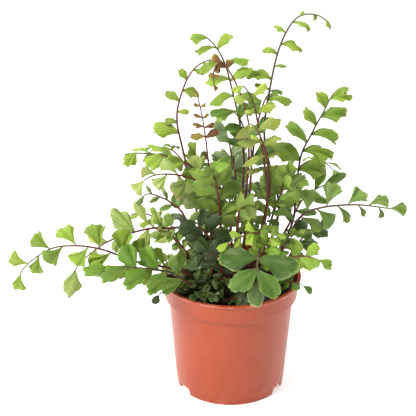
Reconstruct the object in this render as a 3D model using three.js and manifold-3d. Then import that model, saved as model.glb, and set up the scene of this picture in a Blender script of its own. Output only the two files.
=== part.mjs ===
// A small potted fern: a thin plastic nursery pot filled with potting soil, in which a clump of wiry
// dark-stemmed fronds stands. Each frond is one solid: a tapered stem with wedge-shaped lobed leaflets.
// Millimetres, +Z up. Places below are from the pot's axis, at the level that the pot stands on; the whole is
// then moved so that the origin is the middle of its box, on that level. Its front faces -Y.
import * as THREE from "three";
import { mergeVertices } from "three/addons/utils/BufferGeometryUtils.js";
import Module from "manifold-3d";

const wasm = await Module();
wasm.setup();

// Pot
const POT_HEIGHT = 102.5;
const LIP_RADIUS = 60;
const BASE_RADIUS = 46.3;
const WALL = 1.2;
const BODY_TOP = { radius: 53.4, z: 84 };
const BAND = { bottomRadius: 56.8, topRadius: 58.2, top: 99.6 };
const LIP_THICKNESS = 2;
const FLOOR = { underside: 5.2, thickness: 1.8 };
const POT_SIDES = 32;
const NOTCH = { azimuths: [-59, 61, 181], height: 5, bottomWidth: 17, topWidth: 13, depth: 12 };
const DRAIN = { count: 6, radius: 4.5, circle: 29, sides: 6 };

// Soil
const SOIL_LEVEL = 93;
const SOIL_BUMP = 1.6;
const SOIL_RINGS = 4;
const SOIL_SIDES = 18;
const SEAT_GAP = 0.35;

// Stems and leaflets. A leaflet up to SMALL_LEAFLET long has 4 stretches on its margin and a longer one 6. Its
// strip is the triangles between the margin's corners.
const STEM_RADIUS = 1.4;
const STEM_TIP_SHARE = 0.62;
const STEM_SIDES = 4;
const STEM_STEP = 40;
const ROOT_DEPTH = 6;
const FOOT_HEIGHT = 1.5;
const TIP_LEAFLET_RUN = 0.85;
const LEAST_KNOT = 0.02;
const BLADE = 0.7;
const BLADE_CLEARANCE = 0.9;
const OWN_CLEARANCE = 0.3;
const SMALL_LEAFLET = 16;
const LARGE_STRIP = [[6, 0, 1], [6, 1, 5], [5, 1, 3], [3, 1, 2], [3, 4, 5]];
const SMALL_STRIP = [[4, 0, 1], [4, 1, 3], [3, 1, 2]];
const LEAST_EDGE = 0.02;

// Leaflet outlines in leaflet lengths: the shoulder is where the straight sides end, halfWidth is there,
// lobe is how deep the notches between the lobes are, and upper is how much wider the side towards the
// frond's tip is than the other.
const FORMS = {
  fan: { shoulder: 0.76, halfWidth: 0.43, lobe: 0.05, upper: 1.1 },
  wedge: { shoulder: 0.5, halfWidth: 0.36, lobe: 0.04, upper: 1.2 },
  oblong: { shoulder: 0.48, halfWidth: 0.3, lobe: 0.02, upper: 1.15 },
  narrow: { shoulder: 0.45, halfWidth: 0.2, lobe: 0.03, upper: 1.15 },
  round: { shoulder: 0.44, halfWidth: 0.42, lobe: 0, upper: 1.0 },
};

const TONES = {
  bright: "#86b232",
  pale: "#a3c257",
  mid: "#5c9130",
  dark: "#33562c",
  red: "#8a5230",
};

// Every frond, in the order that they take their room. path: the root on the soil as [x, y], then points
// that the stem passes through, up to the tip of its last leaflet. leaflets: their lengths from the lowest to
// the last, below zero on the left as the frond's face is looked at with its tip up. bare: the share of the
// stem with no leaflets. paired: leaflets stand two and two. face: the way that the frond's upper side
// looks. light: where the leaflets turn theirs, if not the same way. bend: how far a leaflet arches over its
// length, in degrees. girth: the stem's thickness as a share of the others'. spread: its own angles between
// the stem and the lowest and highest leaflets.
const FRONDS = [
  {
    name: "tall_right", tone: "bright", form: "oblong",
    bare: 0.585, face: [0.1, -1, 0.3], light: [0.1, -0.4, 1], bend: 84, spread: [76, 44],
    path: [
      [21, 12], [40, 6, 158], [27, 6, 223], [32, 8, 275], [40, 10, 307], [52, 10, 326], [68, 8, 328],
      [80, 5, 318],
    ],
    leaflets: [-16, 25, -14, -25, 12, -16, 20, -13, 18, -6, 8, 11],
  },
  {
    name: "tall_left", tone: "bright", form: "oblong", paired: true,
    bare: 0.67, face: [-0.1, -1, 0.4], light: [-0.1, -0.4, 1], bend: 88, spread: [78, 60],
    path: [[0, 14], [10, 10, 186], [8, 8, 227], [2, 5, 258], [-7, 0, 293], [-20, -4, 313], [-34, -10, 317]],
    leaflets: [22, -24, 24, -24, 24, -25, 23, -25, 19, -20, 18],
  },
  {
    name: "red_droop", tone: "red", form: "wedge", girth: 0.8, paired: true,
    bare: 0.872, face: [-0.5, -0.8, 0.2], bend: 40,
    path: [
      [6, 2], [15, -6, 179], [15, -11, 229], [9, -16, 263], [-1, -20, 288], [-9, -24, 299],
      [-15, -28, 294], [-14, -31, 277],
    ],
    leaflets: [10, -10, 10, -9, 8, -7, 6],
  },
  {
    name: "red_young", tone: "red", form: "oblong", girth: 0.8, paired: true,
    bare: 0.78, face: [0, -1, 0.3], light: [0, -0.7, 0.8], bend: 35,
    path: [[-14, 0], [-16, -6, 165], [-20, -12, 218], [-24, -14, 250], [-29, -15, 273]],
    leaflets: [13, -14, 10, -10, 7, -8, 6, -6, 6],
  },
  {
    name: "thin_left", tone: "mid", form: "oblong",
    bare: 0.63, face: [-0.2, -1, 0.3], light: [-0.2, -0.6, 0.9], bend: 66, spread: [76, 55],
    path: [
      [-20, 12], [-31, 9, 168], [-40, 9, 211], [-45, 8, 242], [-39, 6, 269], [-30, 6, 285],
      [-18, 8, 291], [-7, 10, 290],
    ],
    leaflets: [-25, -15, 11, -14, 16, -12, 11, 8, 9],
  },
  {
    name: "centre_top", tone: "pale", form: "oblong", paired: true,
    bare: 0.67, face: [0.1, -0.8, 0.7], light: [0.1, -0.45, 1], bend: 76, spread: [78, 54],
    path: [
      [13, -2], [29, -8, 170], [26, -11, 212], [21, -14, 242], [16, -19, 266], [8, -26, 281],
      [-2, -34, 286],
    ],
    leaflets: [18, -22, 22, -24, 22, -22, 20, -18, 16],
  },
  {
    name: "right_upright", tone: "mid", form: "oblong",
    bare: 0.484, face: [0.1, -1, 0.35], light: [0.1, -0.7, 0.8], bend: 58, spread: [76, 40],
    path: [
      [32, 8], [51, 6, 145], [54, 6, 173], [57, 6, 207], [65, 8, 226], [75, 8, 247], [83, 6, 264],
      [93, 0, 269],
    ],
    leaflets: [-16, -24, 27, -30, 30, -27, 28, -21, 24, -18, 19, 14],
  },
  {
    name: "right_long", tone: "mid", form: "fan",
    bare: 0.36, face: [0, -1, 0.5], light: [0, -0.45, 1], bend: 30,
    path: [
      [30, -4], [50, -8, 146], [60, -10, 163], [75, -12, 170], [92, -14, 173], [107, -16, 174],
      [121, -18, 173], [132, -19, 172], [143, -20, 173],
    ],
    leaflets: [19, -20, 21, -20, 20, -20, 18, -20, 12, -18, 10, 16],
  },
  {
    name: "left_long", tone: "bright", form: "fan",
    bare: 0.32, face: [0, -1, 0.5], bend: 22,
    path: [
      [-16, -14], [-39, -34, 121], [-59, -48, 134], [-81, -58, 144], [-101, -66, 157], [-122, -72, 164],
      [-144, -76, 163], [-165, -80, 148], [-171, -82, 131],
    ],
    leaflets: [19, -20, 21, -20, 22, -20, 21, -20, 19, -18, 18, -16, 16, 16],
  },
  {
    name: "left_lower", tone: "bright", form: "wedge",
    bare: 0.32, face: [0, -1, 0.45], bend: 22,
    path: [
      [-22, -24], [-46, -50, 127], [-64, -62, 138], [-83, -70, 144], [-102, -76, 147], [-114, -80, 145],
    ],
    leaflets: [-24, 26, -27, 25, -24, 23, -22, 22],
  },
  {
    name: "left_red", tone: "pale", form: "oblong",
    bare: 0.4, face: [0, -1, 0.4], bend: 25,
    path: [
      [-20, 4], [-35, -2, 142], [-55, -8, 149], [-71, -14, 151], [-97, -24, 147], [-112, -30, 140],
      [-128, -36, 126], [-136, -40, 105],
    ],
    leaflets: [-16, 16, -18, 27, -16, 20, -20, 14, 24],
  },
  {
    name: "front_big", tone: "mid", form: "oblong", paired: true,
    bare: 0.8, face: [0, -1, 0.25], bend: 28, spread: [92, 12],
    path: [[14, -16], [23, -37, 142], [21, -52, 148], [20, -65, 141], [20, -72, 127], [18, -77, 110]],
    leaflets: [36, -35, 30, -27, 28],
  },
  {
    name: "front_bright", tone: "bright", form: "oblong", paired: true,
    bare: 0.475, face: [0, -0.8, 0.7], bend: 30,
    path: [[10, -9], [24, -24, 146], [19, -34, 157], [6, -42, 157], [-13, -52, 152]],
    leaflets: [12, -17, 13, -17, 12, -14, 12, -12, 13],
  },
  {
    name: "left_top", tone: "bright", form: "wedge",
    bare: 0.52, face: [-0.2, -0.35, 1], bend: 60,
    path: [
      [-10, 9], [-20, 4, 180], [-33, 0, 201], [-48, -4, 211], [-66, -10, 217], [-86, -16, 219],
      [-98, -22, 211],
    ],
    leaflets: [22, -23, 24, -24, 27, -21, 18, -18, 17],
  },
  {
    name: "left_broad", tone: "pale", form: "fan",
    bare: 0.46, face: [0, -0.9, 0.6], bend: 35,
    path: [
      [-12, -6], [-20, -18, 176], [-25, -24, 196], [-36, -30, 205], [-52, -38, 211], [-66, -44, 211],
      [-79, -50, 202],
    ],
    leaflets: [20, -22, 22, -24, 22, -22, 18, -16, 14, 15],
  },
  {
    name: "centre_pale", tone: "pale", form: "narrow", paired: true,
    bare: 0.62, face: [0, -1, 0.35], light: [0.1, -0.4, 1], bend: 78,
    path: [[18, 4], [31, -3, 173], [28, -18, 216], [21, -32, 243], [13, -44, 256], [2, -56, 254]],
    leaflets: [10, -20, 14, -25, 20, -25, 21, -21, 19],
  },
  {
    name: "centre_leaf", tone: "mid", form: "oblong",
    bare: 0.66, face: [-0.2, -0.7, 0.7], light: [-0.1, -0.5, 0.9], bend: 55,
    path: [[4, 7], [14, 4, 200], [10, 0, 234], [1, -6, 252], [-15, -14, 259]],
    leaflets: [20, -22, 24, -20, 16, 22],
  },
  {
    name: "right_slender", tone: "mid", form: "narrow",
    bare: 0.42, face: [0, -0.8, 0.7], bend: 25,
    path: [[28, 20], [50, 25, 137], [62, 30, 159], [76, 34, 168], [98, 38, 177]],
    leaflets: [18, -20, 20, -24, 20, -24, 22],
  },
  {
    name: "right_mid", tone: "mid", form: "wedge",
    bare: 0.56, face: [0, -1, 0.4], bend: 30,
    path: [[24, 5], [40, 2, 160], [42, -6, 188], [46, -13, 203], [50, -20, 212]],
    leaflets: [22, -24, 25, -26, 24, -24, 20, -18, 15],
  },
  {
    name: "right_dark", tone: "dark", form: "wedge",
    bare: 0.4, face: [0.1, -1, 0.5], bend: 25,
    path: [[36, 0], [54, -2, 128], [64, -1, 141], [74, 0, 146], [85, 2, 149]],
    leaflets: [14, -15, 17, -17, 16, 15],
  },
  {
    name: "right_bright", tone: "bright", form: "wedge",
    bare: 0.4, face: [0.1, -0.9, 0.6], bend: 25,
    path: [[31, -20], [46, -36, 132], [58, -44, 141], [69, -50, 141], [80, -54, 136]],
    leaflets: [15, -15, 17, -17, 16, -15, 12, 12],
  },
  {
    name: "left_pale", tone: "pale", form: "narrow",
    bare: 0.5, face: [-0.2, -1, 0.3], bend: 25,
    path: [[-26, 12], [-47, 20, 124], [-61, 26, 130], [-72, 31, 137], [-84, 36, 152]],
    leaflets: [14, -14, 14, -13, 12, 24],
  },
  {
    name: "left_mid", tone: "mid", form: "narrow",
    bare: 0.5, face: [-0.2, -0.7, 0.7], bend: 40,
    path: [[-24, 2], [-38, 6, 150], [-50, 5, 166], [-60, 3, 173], [-71, -1, 177], [-79, -6, 169]],
    leaflets: [16, -16, 14, -14, 12, -12, 9, 12],
  },
  {
    name: "centre_bright", tone: "bright", form: "wedge",
    bare: 0.55, face: [0, -0.8, 0.7], bend: 40,
    path: [[-6, -10], [-10, -24, 173], [-13, -32, 200], [-15, -42, 217], [-7, -54, 226]],
    leaflets: [20, -22, 23, -24, 22, -24, 20, -16, 16],
  },
  {
    name: "centre_mid", tone: "pale", form: "oblong",
    bare: 0.58, face: [0, -0.7, 0.8], bend: 40,
    path: [[3, -13], [5, -27, 160], [6, -36, 178], [11, -47, 187], [16, -60, 184]],
    leaflets: [20, -20, 20, -19, 17, -16, 16],
  },
  {
    name: "inner_dark", tone: "dark", form: "wedge",
    bare: 0.42, face: [-0.2, -1, 0.4], bend: 25,
    path: [[-15, -18], [-18, -32, 146], [-24, -39, 163], [-32, -45, 173], [-45, -52, 177]],
    leaflets: [20, -22, 22, -22, 24, -20, 18, -17, 16],
  },
  {
    name: "inner_low", tone: "dark", form: "wedge",
    bare: 0.36, face: [-0.1, -0.9, 0.5], bend: 25,
    path: [[-7, -22], [-9, -36, 130], [-14, -44, 142], [-23, -52, 147], [-36, -60, 140]],
    leaflets: [17, -18, 20, -20, 20, -18, 17, -15, 14],
  },
  {
    name: "back_dark", tone: "dark", form: "wedge",
    bare: 0.56, face: [-0.2, -0.6, 0.8], bend: 35,
    path: [[-6, 20], [4, 27, 169], [0, 31, 200], [-4, 34, 217], [-14, 37, 225]],
    leaflets: [18, -19, 21, -20, 19, -16, 15],
  },
  {
    name: "back_high", tone: "mid", form: "oblong",
    bare: 0.51, face: [0.2, 0.7, 0.8], bend: 40,
    path: [[10, 22], [16, 34, 165], [20, 42, 207], [26, 50, 234], [34, 60, 246], [43, 72, 242]],
    leaflets: [25, -26, 25, -23, 20, -16, 15],
  },
  {
    name: "back_left", tone: "mid", form: "fan",
    bare: 0.42, face: [-0.3, 0.5, 0.9], bend: 35,
    path: [[-16, 26], [-28, 42, 150], [-38, 56, 176], [-50, 70, 187], [-64, 84, 184], [-76, 96, 170]],
    leaflets: [24, -25, 25, -23, 20, -17, 16],
  },
  {
    name: "back_right", tone: "bright", form: "fan",
    bare: 0.42, face: [0.3, 0.5, 0.9], bend: 35,
    path: [[24, 30], [40, 46, 146], [54, 60, 168], [70, 74, 176], [86, 86, 168], [98, 96, 150]],
    leaflets: [-23, 24, -25, 23, -20, 17, 16],
  },
  {
    name: "back_out", tone: "mid", form: "wedge",
    bare: 0.36, face: [0, 0.4, 1], bend: 30,
    path: [[2, 32], [0, 56, 138], [-2, 74, 154], [-4, 94, 158], [-6, 114, 148], [-8, 130, 130]],
    leaflets: [24, -26, 26, -24, 21, -17, 17],
  },
  {
    name: "back_low", tone: "bright", form: "wedge",
    bare: 0.38, face: [-0.3, 0.4, 0.9], bend: 30,
    path: [[-34, 20], [-52, 36, 124], [-66, 50, 132], [-82, 64, 130], [-96, 74, 118]],
    leaflets: [-18, 20, -21, 20, -18, 16, 15],
  },
  {
    name: "low_left", tone: "dark", form: "round", girth: 0.72, paired: true,
    bare: 0.2, face: [-0.2, -0.5, 0.9], bend: 20,
    path: [[-36, -20], [-44, -30, 104], [-50, -38, 109], [-57, -45, 109], [-64, -52, 103]],
    leaflets: [9, -10, 10, -10, 8, -9, 8],
  },
  {
    name: "low_front", tone: "dark", form: "round", girth: 0.72, paired: true,
    bare: 0.2, face: [0, -0.7, 0.8], bend: 20,
    path: [[-18, -34], [-20, -42, 103], [-26, -47, 105], [-35, -50, 104]],
    leaflets: [8, -8, 9, -9, 8, -8, 8],
  },
  {
    name: "low_middle", tone: "dark", form: "round", girth: 0.72, paired: true,
    bare: 0.2, face: [0, -0.7, 0.8], bend: 20,
    path: [[-2, -34], [4, -42, 101], [12, -46, 102], [21, -48, 101]],
    leaflets: [8, -9, 9, -9, 8, -8, 8],
  },
  {
    name: "low_right", tone: "mid", form: "round", girth: 0.72, paired: true,
    bare: 0.2, face: [0.2, -0.6, 0.8], bend: 20,
    path: [[36, -14], [43, -22, 104], [50, -28, 109], [58, -33, 109], [66, -37, 104]],
    leaflets: [9, -9, 10, -10, 9, -8, 9],
  },
  {
    name: "low_back", tone: "mid", form: "round", girth: 0.72, paired: true,
    bare: 0.2, face: [0.2, 0.5, 0.9], bend: 20,
    path: [[34, 30], [40, 37, 104], [45, 42, 107], [52, 48, 106], [60, 54, 99]],
    leaflets: [9, -9, 10, -10, 9, -8, 9],
  },
];

// How leaflets stand: degrees from the stem, for the lowest and the highest, and how far draws vary them
const SPREAD = [68, 42];
const TIP_SHARE = 0.995;
const PAIR_STEP = 0.25;
const LIFT_FOR_BEND = 0.25;
const LEAST_BEND = 6;
const VARY = { angle: 10, lift: 12, roll: 20, size: 0.06, bend: 0.35 };

// Where a leaflet would cross another frond it is lifted or turned, in degrees, then made smaller.
const DODGES = [[0, 0], [20, 0], [-20, 0], [0, 28], [0, -28], [36, 15], [-36, -15], [50, 0], [-50, 0]];
const DODGE_SIZES = [1, 0.78, 0.6];

// Corners closer than SAME_CORNER are one; solids that share less than TOUCH in volume don't cross.
const SAME_CORNER = 1e-4;
const TOUCH = 1e-6;
const RAD = Math.PI / 180;
const UP = new THREE.Vector3(0, 0, 1);

// A closed solid from positions and triangles, merged, for joining and cutting.
function solidFrom(geometry) {
  const bare = new THREE.BufferGeometry().setAttribute("position", geometry.getAttribute("position"));
  bare.setIndex(geometry.index);
  const merged = mergeVertices(bare, SAME_CORNER);
  return new wasm.Manifold(
    new wasm.Mesh({
      numProp: 3,
      vertProperties: new Float32Array(merged.attributes.position.array),
      triVerts: new Uint32Array(merged.index.array),
    }),
  );
}

// The geometry of a solid. Edges shorter than LEAST_EDGE, which joins leave where a blade meets its stem, are
// drawn together to one corner, and the triangles that this closes are left out.
function geometryFrom(solid) {
  const mesh = solid.getMesh();
  const corner = (i) => new THREE.Vector3().fromArray(mesh.vertProperties, i * mesh.numProp);
  const drawnTo = Array.from({ length: mesh.numVert }, (_, i) => i);
  const endOf = (i) => (drawnTo[i] === i ? i : endOf(drawnTo[i]));
  const cornersOf = (i) => Array.from(mesh.triVerts.slice(3 * i, 3 * i + 3));
  const triangles = Array.from({ length: mesh.numTri }, (_, i) => cornersOf(i));
  for (const triangle of triangles)
    triangle.forEach((a, k) => {
      const b = triangle[(k + 1) % 3];
      if (corner(a).distanceTo(corner(b)) < LEAST_EDGE) drawnTo[endOf(a)] = endOf(b);
    });
  const kept = new Map();
  for (const triangle of triangles.map((one) => one.map(endOf))) {
    if (new Set(triangle).size < 3) continue;
    const key = triangle.toSorted((a, b) => a - b).join();
    if (!kept.delete(key)) kept.set(key, triangle);
  }
  const positions = [...kept.values()].flat().flatMap((i) => corner(i).toArray());
  const geometry = new THREE.BufferGeometry();
  geometry.setAttribute("position", new THREE.Float32BufferAttribute(positions, 3));
  return mergeVertices(geometry, SAME_CORNER);
}

function solidOfTriangles(points, triangles) {
  const positions = new Float32Array(points.flatMap((p) => [p.x, p.y, p.z]));
  return solidFrom(
    new THREE.BufferGeometry()
      .setAttribute("position", new THREE.BufferAttribute(positions, 3))
      .setIndex(triangles.flat()),
  );
}

// Repeatable random numbers from 0 to 1, from one starting whole number.
function randomFrom(seed) {
  let state = seed >>> 0;
  return () => {
    state = (Math.imul(state, 1664525) + 1013904223) >>> 0;
    return state / 4294967296;
  };
}

// The soil's surface: low bumps, the sum of two waves.
function soilHeight(x, y) {
  return SOIL_LEVEL + SOIL_BUMP * (0.6 * Math.sin(x / 9) * Math.cos(y / 11) + 0.4 * Math.sin(x / 5 + y / 7));
}

function lathe(profile) {
  const geometry = new THREE.LatheGeometry(profile.map(([r, z]) => new THREE.Vector2(r, z)), POT_SIDES);
  geometry.rotateX(Math.PI / 2);
  return solidFrom(geometry);
}

function makePot() {
  const { underside, thickness } = FLOOR;
  const slope = (BODY_TOP.radius - BASE_RADIUS) / BODY_TOP.z;
  const floorTop = underside + thickness;
  const bandInside = BAND.bottomRadius - WALL;
  const profile = [
    [0, underside],
    [BASE_RADIUS + slope * underside - WALL, underside],
    [BASE_RADIUS - WALL, 0],
    [BASE_RADIUS, 0],
    [BODY_TOP.radius, BODY_TOP.z],
    [BAND.bottomRadius, BODY_TOP.z + 0.4],
    [BAND.topRadius, BAND.top],
    [LIP_RADIUS, POT_HEIGHT - LIP_THICKNESS],
    [LIP_RADIUS, POT_HEIGHT - 0.4],
    [LIP_RADIUS - 0.5, POT_HEIGHT],
    [BAND.topRadius - WALL, POT_HEIGHT],
    [bandInside, BODY_TOP.z + WALL + 0.4],
    [BODY_TOP.radius - WALL, BODY_TOP.z + WALL - 0.4],
    [BASE_RADIUS + slope * floorTop - WALL, floorTop],
    [0, floorTop],
  ];
  const notchShape = new THREE.Shape();
  notchShape.moveTo(-NOTCH.bottomWidth / 2, -1);
  notchShape.lineTo(NOTCH.bottomWidth / 2, -1);
  notchShape.lineTo(NOTCH.topWidth / 2, NOTCH.height);
  notchShape.lineTo(-NOTCH.topWidth / 2, NOTCH.height);
  const notches = NOTCH.azimuths.map((azimuth) => {
    const cut = new THREE.ExtrudeGeometry(notchShape, { depth: NOTCH.depth, bevelEnabled: false });
    cut.rotateX(Math.PI / 2);
    cut.translate(0, -BASE_RADIUS + NOTCH.depth / 2, 0);
    cut.rotateZ(azimuth * RAD);
    return solidFrom(cut);
  });
  const drains = Array.from({ length: DRAIN.count }, (_, i) => {
    const hole = new THREE.CylinderGeometry(DRAIN.radius, DRAIN.radius, 3 * thickness, DRAIN.sides);
    hole.rotateX(Math.PI / 2);
    hole.translate(DRAIN.circle, 0, underside + thickness / 2);
    hole.rotateZ((i * 2 * Math.PI) / DRAIN.count);
    return solidFrom(hole);
  });
  return [...notches, ...drains].reduce((pot, cut) => pot.subtract(cut), lathe(profile));
}

// A plug of soil that fills the pot, with a bumpy top and a straight hole for each stem.
function makeSoil(fronds) {
  const slope = (BODY_TOP.radius - BASE_RADIUS) / BODY_TOP.z;
  const bottom = FLOOR.underside + FLOOR.thickness + SEAT_GAP;
  const gap = WALL + SEAT_GAP + LIP_RADIUS * (1 - Math.cos(Math.PI / POT_SIDES));
  const ledge = BODY_TOP.z + WALL + SEAT_GAP + 0.4;
  const rimRadius = BAND.bottomRadius - gap;
  const rings = [
    [BASE_RADIUS + slope * bottom - gap, bottom],
    [BODY_TOP.radius - gap, ledge],
    [rimRadius, ledge + 0.6],
  ];
  const points = [new THREE.Vector3(0, 0, bottom)];
  const turn = (2 * Math.PI) / SOIL_SIDES;
  for (const [radius, z] of rings)
    for (let k = 0; k < SOIL_SIDES; k++)
      points.push(new THREE.Vector3(radius * Math.cos(k * turn), radius * Math.sin(k * turn), z));
  for (let ring = SOIL_RINGS; ring > 0; ring--)
    for (let k = 0; k < SOIL_SIDES; k++) {
      const radius = (rimRadius * ring) / SOIL_RINGS;
      const [x, y] = [radius * Math.cos(k * turn), radius * Math.sin(k * turn)];
      points.push(new THREE.Vector3(x, y, soilHeight(x, y)));
    }
  points.push(new THREE.Vector3(0, 0, soilHeight(0, 0)));
  const triangles = [];
  const rows = rings.length + SOIL_RINGS;
  for (let k = 0; k < SOIL_SIDES; k++) {
    const next = (k + 1) % SOIL_SIDES;
    triangles.push([0, 1 + next, 1 + k]);
    for (let row = 0; row < rows - 1; row++) {
      const [a, b] = [1 + row * SOIL_SIDES + k, 1 + row * SOIL_SIDES + next];
      triangles.push([a, b, b + SOIL_SIDES], [a, b + SOIL_SIDES, a + SOIL_SIDES]);
    }
    const last = 1 + (rows - 1) * SOIL_SIDES;
    triangles.push([last + k, last + next, points.length - 1]);
  }
  const holes = fronds.map(({ root }) => {
    const radius = (STEM_RADIUS + SEAT_GAP) * Math.SQRT2;
    const hole = new THREE.CylinderGeometry(radius, radius, 4 * ROOT_DEPTH, STEM_SIDES);
    hole.rotateX(Math.PI / 2);
    hole.rotateZ(Math.PI / 4);
    hole.translate(root.x, root.y, root.z - ROOT_DEPTH - SEAT_GAP + 2 * ROOT_DEPTH);
    return solidFrom(hole);
  });
  return holes.reduce((soil, hole) => soil.subtract(hole), solidOfTriangles(points, triangles));
}

// The frond's frame at a point: the direction along it, the side way, and the way that it faces.
function frameAlong(row, point, along) {
  const side = new THREE.Vector3().crossVectors(along, new THREE.Vector3(...row.face)).normalize();
  return { point, along, side, face: new THREE.Vector3().crossVectors(side, along) };
}

// The stem's line as straight stretches between points of a smooth curve, which ends where the last leaflet
// starts, and the frond's frame at a share of its length.
function stemLine(row) {
  const [[x, y], ...through] = row.path;
  const root = new THREE.Vector3(x, y, soilHeight(x, y));
  const foot = root.clone().addScaledVector(UP, FOOT_HEIGHT);
  const corners = [foot, ...through.map((place) => new THREE.Vector3(...place))];
  const curve = new THREE.CatmullRomCurve3(corners, false, "catmullrom");
  const stemShare = 1 - (TIP_LEAFLET_RUN * Math.abs(row.leaflets.at(-1))) / curve.getLength();
  const end = curve.getUtoTmapping(stemShare);
  const knots = [0];
  for (let i = 0; i < corners.length - 1; i++) {
    const parts = Math.max(1, Math.round(corners[i].distanceTo(corners[i + 1]) / STEM_STEP));
    for (let j = 1; j <= parts; j++) knots.push((i + j / parts) / (corners.length - 1));
  }
  knots.splice(knots.findIndex((t) => t > end - LEAST_KNOT), Infinity, end);
  const places = knots.map((t) => curve.getPoint(t));
  const reached = [0];
  for (let k = 1; k < places.length; k++) reached.push(reached[k - 1] + places[k].distanceTo(places[k - 1]));
  const length = reached[reached.length - 1];
  const shares = reached.map((distance) => distance / length);
  const frameAt = (share) => {
    const k = Math.min(shares.findLastIndex((passed) => passed <= share), knots.length - 2);
    const part = (share - shares[k]) / (shares[k + 1] - shares[k]);
    const along = curve.getTangent(knots[k] + part * (knots[k + 1] - knots[k]));
    return frameAlong(row, places[k].clone().lerp(places[k + 1], part), along);
  };
  return { root, shares, frameAt, tip: corners.at(-1) };
}

// The stem: square rings along its line, each smaller than the last, with a straight foot in the soil.
function makeStem({ root, shares, frameAt }, girth = 1) {
  const points = [];
  const ring = (centre, a, b, radius) => {
    for (let k = 0; k < STEM_SIDES; k++) {
      const angle = ((k + 0.5) * 2 * Math.PI) / STEM_SIDES;
      const corner = centre.clone().addScaledVector(a, radius * Math.cos(angle));
      points.push(corner.addScaledVector(b, radius * Math.sin(angle)));
    }
  };
  const across = frameAt(0).side.setZ(0).normalize();
  const away = new THREE.Vector3().crossVectors(UP, across);
  ring(root.clone().addScaledVector(UP, -ROOT_DEPTH), across, away, STEM_RADIUS * girth);
  ring(frameAt(0).point, across, away, STEM_RADIUS * girth);
  for (const share of shares.slice(1)) {
    const { point, side, face } = frameAt(share);
    ring(point, side, face.clone().negate(), STEM_RADIUS * girth * (1 - (1 - STEM_TIP_SHARE) * share));
  }
  const triangles = [];
  for (let k = 1; k < STEM_SIDES - 1; k++) {
    const last = points.length - STEM_SIDES;
    triangles.push([0, k + 1, k], [last, last + k, last + k + 1]);
  }
  for (let a = 0; a < points.length - STEM_SIDES; a++) {
    const b = (a + 1) % STEM_SIDES ? a + 1 : a + 1 - STEM_SIDES;
    triangles.push([a, b, b + STEM_SIDES], [a, b + STEM_SIDES, a + STEM_SIDES]);
  }
  return solidOfTriangles(points, triangles);
}

// One place on a leaflet, in leaflet lengths. v runs across the margin from -1 to 1, and reach from the
// stem (0) to the margin (1). The margin is half an ellipse beyond the shoulders, pulled in between lobes.
function leafletPlace(form, upperSide, v, reach) {
  const { shoulder, halfWidth, lobe, upper } = form;
  const angle = (v * Math.PI) / 2;
  const notch = 1 - lobe * (0.5 - 0.5 * Math.cos(3 * Math.PI * (v + 1)));
  const wide = v * upperSide > 0 ? upper : 1 / upper;
  const along = shoulder + (1 - shoulder) * Math.cos(angle);
  return [reach * notch * along, reach * notch * halfWidth * wide * Math.sin(angle)];
}

// A leaflet's blade. Its length arches like a bow, and both faces have the same triangles: one from the stem
// to the shoulders, then a strip across, with one triangle in each lobe.
function makeBlade(leaflet, thickness, grow) {
  const { form, base, out, across, face, length, bend, upperSide } = leaflet;
  const large = length > SMALL_LEAFLET;
  const last = large ? 6 : 4;
  const flat = [];
  for (let i = 0; i <= last; i++) flat.push(leafletPlace(form, upperSide, (2 * i) / last - 1, grow));
  flat.push([0, 0]);
  const top = [];
  const bottom = [];
  for (const [x, y] of flat) {
    const turned = bend * x;
    const place = base
      .clone()
      .addScaledVector(out, (length * Math.sin(turned)) / bend)
      .addScaledVector(across, length * y)
      .addScaledVector(face, (-length * (1 - Math.cos(turned))) / bend);
    const normal = face.clone().multiplyScalar(Math.cos(turned)).addScaledVector(out, Math.sin(turned));
    top.push(place.clone().addScaledVector(normal, thickness / 2));
    bottom.push(place.clone().addScaledVector(normal, -thickness / 2));
  }
  const count = flat.length;
  const triangles = [];
  for (const [a, b, c] of [[last + 1, 0, last], ...(large ? LARGE_STRIP : SMALL_STRIP)])
    triangles.push([a, b, c], [count + a, count + c, count + b]);
  for (let i = 0; i < count; i++) {
    const next = (i + 1) % count;
    triangles.push([i, count + i, count + next], [i, count + next, next]);
  }
  return solidOfTriangles([...top, ...bottom], triangles);
}

// Leaflet number i of a frond, spaced evenly over the leafy part of the stem, with the last one on its tip.
// Five draws vary its angle, lift, roll, length and arch.
function placeLeaflet(row, line, i, random) {
  const draw = () => 2 * random() - 1;
  const [angleDraw, liftDraw, rollDraw, sizeDraw, bendDraw] = [draw(), draw(), draw(), draw(), draw()];
  const last = row.leaflets.length - 1;
  const hand = Math.sign(row.leaflets[i]);
  const run = (row.paired ? Math.min(last, 2 * Math.floor(i / 2) + PAIR_STEP * (i % 2)) : i) / last;
  const stand = line.frameAt(row.bare + (TIP_SHARE - row.bare) * run);
  const aim = i === last ? line.tip.clone().sub(stand.point).normalize() : stand.along;
  const { point, along, side, face } = frameAlong(row, stand.point, aim);
  const [wide, close] = row.spread ?? SPREAD;
  const spread = i === last ? 0 : (wide + (close - wide) * run + VARY.angle * angleDraw) * RAD;
  const out = along.clone().multiplyScalar(Math.cos(spread)).addScaledVector(side, hand * Math.sin(spread));
  const level = row.light ? new THREE.Vector3(...row.light).projectOnPlane(out).normalize() : face;
  return {
    form: FORMS[row.form],
    base: point,
    frame: { out, across: new THREE.Vector3().crossVectors(level, out), face: level },
    lift: VARY.lift * liftDraw + LIFT_FOR_BEND * row.bend,
    roll: VARY.roll * rollDraw,
    upperSide: hand,
    length: Math.abs(row.leaflets[i]) * (1 + VARY.size * sizeDraw),
    bend: Math.max(LEAST_BEND, row.bend * (1 + VARY.bend * bendDraw)) * RAD,
  };
}

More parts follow.
